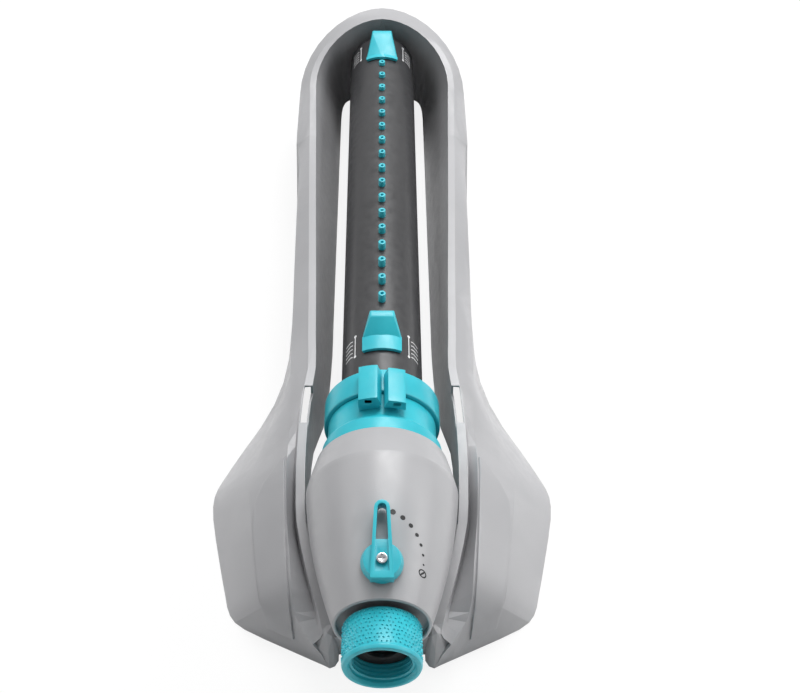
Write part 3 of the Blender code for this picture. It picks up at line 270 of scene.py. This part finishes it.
# bright steel with fine turning marks and a cloudy gloss
def turnedSteel(name, finish):
    material = bpy.data.materials.new(name)
    material.use_nodes = True
    nodes = material.node_tree.nodes
    links = material.node_tree.links
    shader = nodes["Principled BSDF"]
    shader.inputs["Metallic"].default_value = 1
    place = nodes.new("ShaderNodeTexCoord")
    stretch = nodes.new("ShaderNodeMapping")
    stretch.inputs["Scale"].default_value = (1, 1, 6)
    links.new(place.outputs["Object"], stretch.inputs["Vector"])
    marks = nodes.new("ShaderNodeTexNoise")
    marks.inputs["Scale"].default_value = finish["grain"]
    marks.inputs["Detail"].default_value = 4
    links.new(stretch.outputs["Vector"], marks.inputs["Vector"])
    shades = nodes.new("ShaderNodeValToRGB")
    shades.color_ramp.elements[0].color = (*finish["shade"], 1)
    shades.color_ramp.elements[1].color = (*finish["light"], 1)
    links.new(marks.outputs["Fac"], shades.inputs["Fac"])
    links.new(shades.outputs["Color"], shader.inputs["Base Color"])
    gloss = nodes.new("ShaderNodeMapRange")
    gloss.inputs["To Min"].default_value = finish["rough"][0]
    gloss.inputs["To Max"].default_value = finish["rough"][1]
    links.new(marks.outputs["Fac"], gloss.inputs["Value"])
    links.new(gloss.outputs["Result"], shader.inputs["Roughness"])
    relief = nodes.new("ShaderNodeBump")
    relief.inputs["Strength"].default_value = 0.4
    relief.inputs["Distance"].default_value = finish["grainDepth"]
    links.new(marks.outputs["Fac"], relief.inputs["Height"])
    links.new(relief.outputs["Normal"], shader.inputs["Normal"])
    return material


greyPlastic = mouldedPlastic("greyPlastic", greyFinish)
tealPlastic = mouldedPlastic("tealPlastic", tealFinish)
charcoalPlastic = mouldedPlastic("charcoalPlastic", charcoalFinish)
acetal = mouldedPlastic("naturalAcetal", acetalFinish)
blackRubber = mouldedPlastic("blackRubber", rubberFinish)
blackInk = mouldedPlastic("blackInk", inkFinish)
whiteInk = mouldedPlastic("whiteInk", whiteInkFinish)
brightSteel = turnedSteel("brightSteel", steelFinish)
slotMaterial = {"grey_plastic": greyPlastic, "teal_plastic": tealPlastic,
                "charcoal_plastic": charcoalPlastic, "white_plastic": acetal,
                "black_rubber": blackRubber, "steel": brightSteel}
for row in frame["record"]["subparts"]:
    node = frame["nodes"][row["node"]]
    node.data.materials.clear()
    node.data.materials.append(slotMaterial[row["material_slot"]])
print("materials ready")


# camera, floor and lights

view = {"height": 560, "behindInlet": 295, "pitch": 46.0, "lens": 57.42, "shiftX": 0.0225}
floorPaper = {"size": 8, "below": 0.0002, "shade": 0.9, "rough": 0.9, "sheen": 0.1, "glowShare": 0.85}
skyFalls = [                               # brighter overhead, and behind the hoop
    {"axis": "Z", "from": -0.3, "low": 0.12, "high": 0.68},
    {"axis": "Y", "from": -1, "low": 0.22, "high": 1.65},
]
lamps = [
    {"name": "topLamp", "at": (0.25, 0.75, 1.5), "size": 0.9, "power": 22},
    {"name": "rightLamp", "at": (1.5, 0.1, 0.9), "size": 0.8, "power": 9},
    {"name": "leftLamp", "at": (-1.3, 0.2, 1.3), "size": 0.8, "power": 5},
]


def addCamera():
    bpy.ops.object.camera_add(location=(0, inletY - view["behindInlet"] * mm, view["height"] * mm),
                              rotation=(math.radians(90 - view["pitch"]), 0, 0))
    camera = bpy.context.object
    camera.data.lens = view["lens"]
    camera.data.shift_x = view["shiftX"]
    scene.camera = camera


def addFloor():
    bpy.ops.mesh.primitive_plane_add(size=floorPaper["size"], location=(0, 0, -floorPaper["below"]))
    floor = bpy.context.object
    floor.name = "floor"
    paper = bpy.data.materials.new("paleFloor")
    paper.use_nodes = True
    nodes = paper.node_tree.nodes
    links = paper.node_tree.links
    shader = nodes["Principled BSDF"]
    shader.inputs["Base Color"].default_value = (*[floorPaper["shade"]] * 3, 1)
    shader.inputs["Roughness"].default_value = floorPaper["rough"]
    shader.inputs["Specular IOR Level"].default_value = floorPaper["sheen"]
    glow = nodes.new("ShaderNodeEmission")       # keeps the paper white where the camera sees it
    glow.inputs["Color"].default_value = (1, 1, 1, 1)
    glow.inputs["Strength"].default_value = 1.0
    path = nodes.new("ShaderNodeLightPath")
    share = nodes.new("ShaderNodeMath")
    share.operation = "MULTIPLY"
    share.inputs[1].default_value = floorPaper["glowShare"]
    links.new(path.outputs["Is Camera Ray"], share.inputs[0])
    blend = nodes.new("ShaderNodeMixShader")
    links.new(share.outputs["Value"], blend.inputs["Fac"])
    links.new(shader.outputs["BSDF"], blend.inputs[1])
    links.new(glow.outputs["Emission"], blend.inputs[2])
    links.new(blend.outputs["Shader"], nodes["Material Output"].inputs["Surface"])
    floor.data.materials.append(paper)


def addLamps():
    for lamp in lamps:
        bpy.ops.object.light_add(type="AREA", location=lamp["at"])
        light = bpy.context.object
        light.name = lamp["name"]
        light.data.shape = "SQUARE"
        light.data.size = lamp["size"]
        light.data.energy = lamp["power"]
        aim = Vector((0, 0, 0.03)) - Vector(lamp["at"])
        light.rotation_euler = aim.to_track_quat("-Z", "Y").to_euler()


def addSky():
    world = bpy.data.worlds.new("studio")
    world.use_nodes = True
    nodes = world.node_tree.nodes
    links = world.node_tree.links
    nodes["Background"].inputs["Color"].default_value = (1, 1, 1, 1)
    way = nodes.new("ShaderNodeTexCoord")
    parts = nodes.new("ShaderNodeSeparateXYZ")
    links.new(way.outputs["Generated"], parts.inputs["Vector"])
    falls = []
    for row in skyFalls:
        fall = nodes.new("ShaderNodeMapRange")
        fall.inputs["From Min"].default_value = row["from"]
        fall.inputs["To Min"].default_value = row["low"]
        fall.inputs["To Max"].default_value = row["high"]
        links.new(parts.outputs[row["axis"]], fall.inputs["Value"])
        falls.append(fall)
    both = nodes.new("ShaderNodeMath")
    both.operation = "MULTIPLY"
    links.new(falls[0].outputs["Result"], both.inputs[0])
    links.new(falls[1].outputs["Result"], both.inputs[1])
    path = nodes.new("ShaderNodeLightPath")
    seen = nodes.new("ShaderNodeMath")                # the backdrop itself stays white
    seen.operation = "MAXIMUM"
    links.new(both.outputs["Value"], seen.inputs[0])
    links.new(path.outputs["Is Camera Ray"], seen.inputs[1])
    links.new(seen.outputs["Value"], nodes["Background"].inputs["Strength"])
    scene.world = world


bpy.ops.object.select_all(action="DESELECT")
addCamera()
addFloor()
addLamps()
addSky()
print("camera and lights ready")


# hose nut

nut = {"radius": 18.5, "bandRadius": 18.15, "bore": 14.9, "crest": 13.9, "length": 22, "threadStart": 2.4,
       "pitch": 2.2, "turns": 4, "bumpRows": 9, "bumpsRound": 54, "bandStart": 3.0, "bandEnd": 21.2,
       "bumpRise": 0.6, "seed": 7}


def makeHoseNut():
    outline = [(16.0, 0.15), (17.1, 0.0), (18.0, 0.45), (nut["radius"], 1.6), (nut["radius"], 2.4),
               (nut["bandRadius"], 2.8), (nut["bandRadius"], 21.0), (17.5, nut["length"]),
               (14.6, nut["length"]), (14.5, 18), (10.4, 18), (10.4, 16), (nut["bore"], 15.8),
               (nut["bore"], 1.6)]
    body = turnedPiece("hoseNut", outline, 120)
    softenEdges(body, 0.25 * mm, 2, 40)
    bpy.ops.object.select_all(action="DESELECT")
    bpy.ops.mesh.primitive_circle_add(vertices=4, radius=0.01)
    thread = bpy.context.object
    thread.name = "nutThread"
    half = nut["pitch"] * 0.34
    section = [(nut["bore"] + 0.3, -half), (nut["bore"] + 0.3, half), (nut["crest"], half * 0.35),
               (nut["crest"], -half * 0.35)]
    for vertex, (radius, along) in zip(thread.data.vertices, section):
        vertex.co = (0, alongY(nut["threadStart"] + along), radius * mm)
    bakePlace(thread)
    screw = thread.modifiers.new("turns", "SCREW")
    screw.axis = "Y"
    screw.steps = 72
    screw.render_steps = 72
    screw.iterations = nut["turns"]
    screw.screw_offset = nut["pitch"] * mm
    screw.use_merge_vertices = False
    applyModifiers(thread)
    for vertex in thread.data.vertices:
        vertex.co.z += axisZ
    openEdit(thread)
    bpy.ops.mesh.fill_holes(sides=4)
    bpy.ops.mesh.select_all(action="SELECT")
    bpy.ops.mesh.normals_make_consistent(inside=False)
    closeEdit()
    return body, thread


# little three-cornered drops scattered round the grip band, each turned its own way
def makeNutGrip():
    chance = random.Random(nut["seed"])
    drops = []
    rowStep = (nut["bandEnd"] - nut["bandStart"]) / nut["bumpRows"]
    for row in range(nut["bumpRows"]):
        for step in range(nut["bumpsRound"]):
            turn = 2 * math.pi * (step + 0.5 * (row % 2) + chance.uniform(-0.16, 0.16)) / nut["bumpsRound"]
            place = nut["bandStart"] + rowStep * (row + 0.5) + chance.uniform(-0.35, 0.35)
            spin = chance.uniform(0, 2 * math.pi)
            size = chance.uniform(0.72, 0.98)
            drops.append((turn, place, spin, size))
    bpy.ops.object.select_all(action="DESELECT")
    bpy.ops.mesh.primitive_cone_add(vertices=3, radius1=1.0 * mm, radius2=0.55 * mm, depth=1.0 * mm)
    seed = bpy.context.object
    softenEdges(seed, 0.22 * mm, 2, 20)
    pieces = []
    for turn, place, spin, size in drops:
        drop = seed.copy()
        drop.data = seed.data.copy()
        scene.collection.objects.link(drop)
        ca, sa, cs, ss = math.cos(turn), math.sin(turn), math.cos(spin), math.sin(spin)
        for vertex in drop.data.vertices:
            x, y, z = vertex.co
            u = (x * cs - y * ss) * size
            v = (x * ss + y * cs) * size
            radius = nut["bandRadius"] * mm + z + (nut["bumpRise"] - 0.5) * mm
            vertex.co = (radius * sa + u * ca, alongY(place) + v, axisZ + radius * ca - u * sa)
        pieces.append(drop)
    bpy.data.objects.remove(seed)
    grip = joinAll(pieces, "nutGrip")
    openEdit(grip)
    bpy.ops.mesh.normals_make_consistent(inside=False)
    closeEdit()
    return grip


nutBody, nutThread = makeHoseNut()
nutGrip = makeNutGrip()
finishPiece(nutBody, "hose_nut", "teal_plastic", tealPlastic, "hose_nut")
finishPiece(nutThread, "hose_nut", "teal_plastic", tealPlastic)
finishPiece(nutGrip, "hose_nut", "teal_plastic", tealPlastic)
for piece in (nutBody, nutThread, nutGrip):
    smoothShade(piece, 35)
print("hose nut ready")


# motor cover and its flow marks

cover = {"start": 22, "end": 114.5, "bend": 96, "frontRadius": 23, "rearRadius": 39, "rimDrop": 5,
         "power": 2.0, "wall": 2.0, "hole": 10.0, "bulkhead": (26.5, 29), "leverPlace": 38,
         "leverTilt": 15.97}


def coverRadius(place):
    run = min(max((cover["end"] - place) / (cover["end"] - cover["start"]), 0), 1)
    drawnIn = min(max((place - cover["bend"]) / (cover["end"] - cover["bend"]), 0), 1)
    egg = cover["rearRadius"] - (cover["rearRadius"] - cover["frontRadius"]) * run ** cover["power"]
    return egg - cover["rimDrop"] * drawnIn


def makeCover():
    steps = 28
    first = cover["start"] + 0.5
    places = [first + (cover["bend"] - first) * i / steps for i in range(steps + 1)]
    places += [cover["bend"] + 0.6, (cover["bend"] + cover["end"]) / 2, cover["end"] - 0.4, cover["end"]]
    outer = [(coverRadius(d), d) for d in places]
    inner = [(coverRadius(d) - cover["wall"], d) for d in reversed(places) if d > cover["start"] + 8]
    near, far = cover["bulkhead"]
    front = [(coverRadius(far) - cover["wall"], far), (cover["hole"], far), (cover["hole"], near),
             (coverRadius(near) - cover["wall"], near), (cover["frontRadius"] - 1.6, cover["start"] + 0.3),
             (cover["frontRadius"] - 0.7, cover["start"])]
    shell = turnedPiece("motorCover", outer + inner + front, 128)
    softenEdges(shell, 0.35 * mm, 3, 45)
    return shell


# a point on the cover from mm across and along the flow lever's pivot, lifted off the skin by some mm
def onCover(across, along, lift):
    place = cover["leverPlace"] + along
    radius = coverRadius(place) + lift
    side = min(abs(across), radius * 0.98)
    height = axisZ + math.sqrt(radius ** 2 - side ** 2) * mm
    return Vector((math.copysign(side, across) * mm, alongY(place), height))


marks = {"firstReach": 26.2, "lastReach": 20.4, "count": 7, "firstAngle": 11.3, "lastAngle": 80.7,
         "biggest": 1.35, "smallest": 0.42, "ring": 1.55, "ringAngle": 92.2, "ringLine": 0.27,
         "slashLine": 0.6, "slashAngle": 45, "thickness": 0.12}


# across and along the pivot for a turn clockwise from straight ahead, measured over the cover's curve
def polar(angle):
    share = (angle - marks["firstAngle"]) / (marks["ringAngle"] - marks["firstAngle"])
    reach = marks["firstReach"] + (marks["lastReach"] - marks["firstReach"]) * share
    flatAcross = reach * math.sin(math.radians(angle))
    along = reach * math.cos(math.radians(angle)) * math.cos(math.radians(cover["leverTilt"]))
    radius = coverRadius(cover["leverPlace"] + along)
    return radius * math.sin(flatAcross / radius), along


def makeFlowMarks():
    pieces = []
    for i in range(marks["count"]):
        share = i / (marks["count"] - 1)
        angle = marks["firstAngle"] + (marks["lastAngle"] - marks["firstAngle"]) * share
        size = marks["biggest"] + (marks["smallest"] - marks["biggest"]) * share
        across, along = polar(angle)
        bpy.ops.object.select_all(action="DESELECT")
        bpy.ops.mesh.primitive_cylinder_add(vertices=28, radius=size, depth=marks["thickness"])
        dot = bpy.context.object
        for vertex in dot.data.vertices:
            x, y, z = vertex.co
            vertex.co = onCover(across + x, along + y, z + 0.03)
        pieces.append(dot)
    across, along = polar(marks["ringAngle"])
    bpy.ops.object.select_all(action="DESELECT")
    bpy.ops.mesh.primitive_torus_add(major_radius=marks["ring"], minor_radius=marks["ringLine"],
                                     major_segments=40, minor_segments=6)
    ring = bpy.context.object
    for vertex in ring.data.vertices:
        x, y, z = vertex.co
        vertex.co = onCover(across + x, along + y, z * 0.25 + 0.02)
    pieces.append(ring)
    bpy.ops.object.select_all(action="DESELECT")
    bpy.ops.mesh.primitive_cube_add(size=1)
    slash = bpy.context.object
    openEdit(slash)
    bpy.ops.mesh.subdivide(number_cuts=3)
    closeEdit()
    turn = math.radians(marks["slashAngle"])
    for vertex in slash.data.vertices:
        x, y, z = vertex.co
        run = x * 2 * marks["ring"]
        wide = y * marks["slashLine"]
        vertex.co = onCover(across + run * math.cos(turn) - wide * math.sin(turn),
                            along + run * math.sin(turn) + wide * math.cos(turn), z * 0.14 + 0.02)
    pieces.append(slash)
    whole = joinAll(pieces, "flowMarks")
    openEdit(whole)
    bpy.ops.mesh.normals_make_consistent(inside=False)
    closeEdit()
    return whole


coverShell = makeCover()
finishPiece(coverShell, "base", "grey_plastic", greyPlastic, "motor_cover")
smoothShade(coverShell, 40)
flowMarks = makeFlowMarks()
finishPiece(flowMarks, "base", "black_rubber", blackInk)
print("motor cover ready")


# flow lever

lever = cadCopy("flow_lever", "flowLever")
softenEdges(lever, 0.45 * mm, 3, 30)
smoothShade(lever, 40)
finishPiece(lever, "flow_lever", "teal_plastic", tealPlastic, "flow_lever")
leverScrew = cadCopy("lever_screw", "leverScrew")
softenEdges(leverScrew, 0.18 * mm, 2, 30)
smoothShade(leverScrew, 40)
finishPiece(leverScrew, "flow_lever", "steel", brightSteel, "lever_screw")
print("flow lever ready")


# range collars

tabs = {"radius": 37.2, "flare": 2.2, "footFlare": 1.8, "footRadius": 27, "footWidth": 0.97,
        "holeRadius": 33.8, "holeSize": (3.6, 6, 2.4)}
frontTab = {"inner": -2.4, "outer": -12, "start": 131, "end": 153.5, "clear": 31.2, "footStart": 131.4,
            "footEnd": 141.2, "hole": -7}
rearTab = {"inner": 3.2, "outer": 12, "start": 129, "end": 151.5, "clear": 31.8, "footStart": 141.5,
           "footEnd": 151.1, "hole": 7.6}


# a block over the tube: top and bottom are round about the tube's line, and the inner side leans out below
def curvedBlock(inner, outer, start, end, low, high, flare):
    bpy.ops.object.select_all(action="DESELECT")
    bpy.ops.mesh.primitive_cube_add(size=1)
    item = bpy.context.object
    openEdit(item)
    bpy.ops.mesh.subdivide(number_cuts=5)
    closeEdit()
    lean = flare * math.copysign(1, outer - inner)
    for vertex in item.data.vertices:
        across = vertex.co.x + 0.5
        rise = vertex.co.z + 0.5
        x = inner + (outer - inner) * across - lean * (1 - rise) * (1 - across)
        radius = low + (high - low) * rise
        vertex.co = (x * mm, alongY(start + (end - start) * (vertex.co.y + 0.5)),
                     axisZ + math.sqrt(radius ** 2 - x ** 2) * mm)
    openEdit(item)
    bpy.ops.mesh.normals_make_consistent(inside=False)
    closeEdit()
    return item


def makeCollar(name, outline, tab):
    ring = turnedPiece(name, outline, 128)
    softenEdges(ring, 0.4 * mm, 3, 30)
    block = curvedBlock(tab["inner"], tab["outer"], tab["start"], tab["end"], tab["clear"], tabs["radius"],
                        tabs["flare"])
    foot = curvedBlock(tab["inner"], tab["outer"] * tabs["footWidth"], tab["footStart"], tab["footEnd"],
                       tabs["footRadius"], tabs["radius"] - 1.5, tabs["footFlare"])
    middle = (tab["hole"] * mm, alongY(tab["start"] + 2), axisZ + tabs["holeRadius"] * mm)
    for piece in (block, foot):
        bpy.ops.object.select_all(action="DESELECT")
        bpy.ops.mesh.primitive_cube_add(size=1, location=middle,
                                        scale=[side * mm for side in tabs["holeSize"]])
        hole = bpy.context.object
        bakePlace(hole)
        cutWith(piece, hole)
    softenEdges(block, 0.45 * mm, 3, 40)
    softenEdges(foot, 0.3 * mm, 2, 50)
    return joinAll([ring, block, foot], name)


frontRing = makeCollar("frontCollar", [
    (22.3, 115), (30.6, 115), (31.2, 115.6), (31.2, 123.6), (30.7, 124.4), (28.6, 127.0), (28.4, 127.8),
    (28.4, 141.2), (22.3, 141.2)], frontTab)
finishPiece(frontRing, "front_collar", "teal_plastic", tealPlastic, "front_limit_collar")
rearRing = makeCollar("rearCollar", [
    (22.3, 141.5), (30.1, 141.5), (30.6, 142), (30.6, 156), (29.7, 157), (22.3, 157)], rearTab)
finishPiece(rearRing, "rear_collar", "teal_plastic", tealPlastic, "rear_limit_collar")
for piece in (frontRing, rearRing):
    smoothShade(piece, 40)
print("collars ready")


# spray tube, nozzles and scale marks

tube = {"radius": 22.0, "bore": 20.0, "start": 116, "end": 482}
nozzle = {"count": 17, "pitch": 14.5, "first": 217, "radius": 2.1, "hole": 0.85, "depth": 1.8,
          "riseNear": 5.5, "riseFar": 2.5}
scales = {"across": 15.9, "near": (178.6, 193.7), "far": (462, 476.7), "line": 0.55, "dot": 0.9,
          "thickness": 0.12, "ticks": 5, "tickStart": 17.7, "tickBend": 19.5, "tickEnd": 24.0,
          "tickStep": 2.9, "firstTick": 2.2}


def makeNozzles():
    pieces = []
    for i in range(nozzle["count"]):
        place = nozzle["first"] + nozzle["pitch"] * i
        rise = nozzle["riseNear"] + (nozzle["riseFar"] - nozzle["riseNear"]) * i / (nozzle["count"] - 1)
        low = tube["radius"] - 3
        top = tube["radius"] + rise
        bpy.ops.object.select_all(action="DESELECT")
        middle = (0, alongY(place), axisZ + (top + low) / 2 * mm)
        bpy.ops.mesh.primitive_cylinder_add(vertices=24, radius=nozzle["radius"] * mm,
                                            depth=(top - low) * mm, location=middle)
        item = bpy.context.object
        bakePlace(item)
        openEdit(item)
        bpy.ops.mesh.select_all(action="DESELECT")
        closeEdit()
        highest = max(item.data.polygons, key=lambda face: face.center.z)
        highest.select = True
        bpy.ops.object.mode_set(mode="EDIT")
        bpy.ops.mesh.select_mode(type="FACE")
        bpy.ops.mesh.inset(thickness=(nozzle["radius"] - nozzle["hole"]) * mm, depth=0)
        bpy.ops.mesh.extrude_region_move(TRANSFORM_OT_translate={"value": (0, 0, -nozzle["depth"] * mm)})
        closeEdit()
        softenEdges(item, 0.3 * mm, 2, 40)
        pieces.append(item)
    return joinAll(pieces, "nozzles")


# a point on the tube's skin, from mm round the skin and a place along it
def onTube(across, place, lift):
    radius = tube["radius"] + lift
    turn = across / tube["radius"]
    return Vector((radius * math.sin(turn) * mm, alongY(place), axisZ + radius * math.cos(turn) * mm))


# a thin printed bar on the tube between two (across, place) points
def printedBar(start, end, width):
    bpy.ops.object.select_all(action="DESELECT")
    bpy.ops.mesh.primitive_cube_add(size=1)
    item = bpy.context.object
    openEdit(item)
    bpy.ops.mesh.subdivide(number_cuts=2)
    closeEdit()
    run = Vector(end) - Vector(start)
    side = Vector((-run.y, run.x)).normalized() * width
    for vertex in item.data.vertices:
        spot = Vector(start) + run * (vertex.co.x + 0.5) + side * vertex.co.y
        vertex.co = onTube(spot.x, spot.y, vertex.co.z * scales["thickness"] + 0.04)
    return item


def printedDot(across, place, radius):
    bpy.ops.object.select_all(action="DESELECT")
    bpy.ops.mesh.primitive_cylinder_add(vertices=20, radius=radius, depth=scales["thickness"])
    item = bpy.context.object
    for vertex in item.data.vertices:
        x, y, z = vertex.co
        vertex.co = onTube(across + x, place + y, z + 0.04)
    return item


def makeScales():
    pieces = []
    for start, end in (scales["near"], scales["far"]):
        for side in (-1, 1):
            line = scales["across"] * side
            pieces.append(printedBar((line, start), (line, end), scales["line"]))
            pieces.append(printedDot(line, start, scales["dot"]))
            pieces.append(printedDot(line, end, scales["dot"]))
            for i in range(scales["ticks"]):
                place = end - scales["firstTick"] - scales["tickStep"] * i
                inner = (side * scales["tickStart"], place - 0.5)
                bend = (side * scales["tickBend"], place)
                outer = (side * scales["tickEnd"], place - 0.9)
                pieces.append(printedBar(inner, bend, scales["line"]))
                pieces.append(printedBar(bend, outer, scales["line"]))
    return joinAll(pieces, "scaleMarks")


tubeShell = turnedPiece("sprayTube", [
    (tube["bore"], tube["start"]), (tube["radius"], tube["start"]), (tube["radius"], tube["end"] - 0.3),
    (tube["radius"] - 0.3, tube["end"]), (tube["bore"], tube["end"])], 128)
finishPiece(tubeShell, "spray_tube", "charcoal_plastic", charcoalPlastic, "spray_tube")
nozzles = makeNozzles()
finishPiece(nozzles, "spray_tube", "teal_plastic", tealPlastic, "nozzle_strip")
scaleMarks = makeScales()
finishPiece(scaleMarks, "spray_tube", "white_plastic", whiteInk)
for piece in (tubeShell, nozzles):
    smoothShade(piece, 40)
print("spray tube ready")


# width sliders

for side in ("near", "far"):
    slider = cadCopy(side + "_width_slider", side + "WidthSlider")
    softenEdges(slider, 0.4 * mm, 3, 30)
    smoothShade(slider, 40)
    finishPiece(slider, side + "_slider", "teal_plastic", tealPlastic, side + "_width_slider")
print("sliders ready")


# base moulding

baseShell = cadCopy("base_frame", "baseShell")
softenEdges(baseShell, 0.5 * mm, 2, 38)
smoothShade(baseShell, 11)

# the raised panel on each wing: (across, place) of its outer and inner edges, from the nut end back
wingPanel = {
    "outer": [(56.4, 44.2), (59.2, 50.3), (61.8, 63), (64.9, 86), (65.1, 104.5), (60.7, 113.1), (57, 116.6),
              (50.9, 123.5)],
    "inner": [(43.2, 37.5), (44.9, 46), (46.0, 57), (47.4, 76), (48.6, 96), (49.4, 108), (49.8, 114.3),
              (49.8, 122.3)],
    "rise": 1.1, "sunk": 0.8, "rows": 42, "columns": 12}


def alongEdge(edge, share):
    last = len(edge) - 1
    step = min(int(share * last), last - 1)
    return Vector(edge[step]).lerp(Vector(edge[step + 1]), share * last - step)


def makeWingPanel(side, name):
    bpy.ops.object.select_all(action="DESELECT")
    bpy.ops.mesh.primitive_grid_add(x_subdivisions=wingPanel["columns"], y_subdivisions=wingPanel["rows"],
                                    size=1)
    panel = bpy.context.object
    down = Vector((0, 0, -1))
    for vertex in panel.data.vertices:
        outer = alongEdge(wingPanel["outer"], vertex.co.y + 0.5)
        inner = alongEdge(wingPanel["inner"], vertex.co.y + 0.5)
        spot = outer.lerp(inner, vertex.co.x + 0.5)
        above = Vector((side * spot.x * mm, alongY(spot.y), 0.2))
        place, normal = baseShell.ray_cast(above, down)[1:3]
        vertex.co = place + normal * wingPanel["rise"] * mm
    openEdit(panel)
    bpy.ops.mesh.normals_make_consistent(inside=False)
    closeEdit()
    if panel.data.polygons[0].normal.z < 0:
        panel.data.flip_normals()
    plate = panel.modifiers.new("plate", "SOLIDIFY")
    plate.thickness = (wingPanel["rise"] + wingPanel["sunk"]) * mm
    plate.offset = -1
    applyModifiers(panel)
    softenEdges(panel, 0.6 * mm, 3, 50)
    smoothShade(panel, 30)
    panel.name = name
    return panel


for side, name in ((-1, "leftWingPanel"), (1, "rightWingPanel")):
    finishPiece(makeWingPanel(side, name), "base", "grey_plastic", greyPlastic)
finishPiece(baseShell, "base", "grey_plastic", greyPlastic, "base_frame")
print("base ready")


# the remaining pieces keep their CAD shape, with softened edges

smallPieces = {"tube_end_cap": 0.4, "tube_drive_hub": 0.3, "inlet_body": 0.3, "hose_washer": 0.35,
               "inlet_filter": 0.1, "far_bearing": 0.25, "near_bearing": 0.25, "trip_lever": 0.3,
               "gearbox_front_plate": 0.2, "gearbox_rear_plate": 0.2, "flow_valve": 0.2,
               "spindle_seal": 0.2, "turbine_wheel": 0.12, "turbine_shaft": 0.2, "turbine_pinion": 0.12,
               "idler_wheel": 0.12, "idler_pinion": 0.12,
               "idler_pin": 0.2, "output_gear": 0.12, "near_slider_clip": 0.3, "far_slider_clip": 0.3,
               "cover_screw_1": 0.2, "cover_screw_2": 0.2, "cover_screw_3": 0.2, "cover_screw_4": 0.2}
bodyOf = {node: body for body, nodes in frame["record"]["behaviour"]["bodies"].items() for node in nodes}
slotOf = {row["node"]: row["material_slot"] for row in frame["record"]["subparts"]}
for node, softness in smallPieces.items():
    words = node.split("_")
    item = cadCopy(node, words[0] + "".join(word.title() for word in words[1:]))
    softenEdges(item, softness * mm, 2, 30)
    smoothShade(item, 40)
    finishPiece(item, bodyOf[node], slotOf[node], slotMaterial[slotOf[node]], node)
print("small pieces ready")
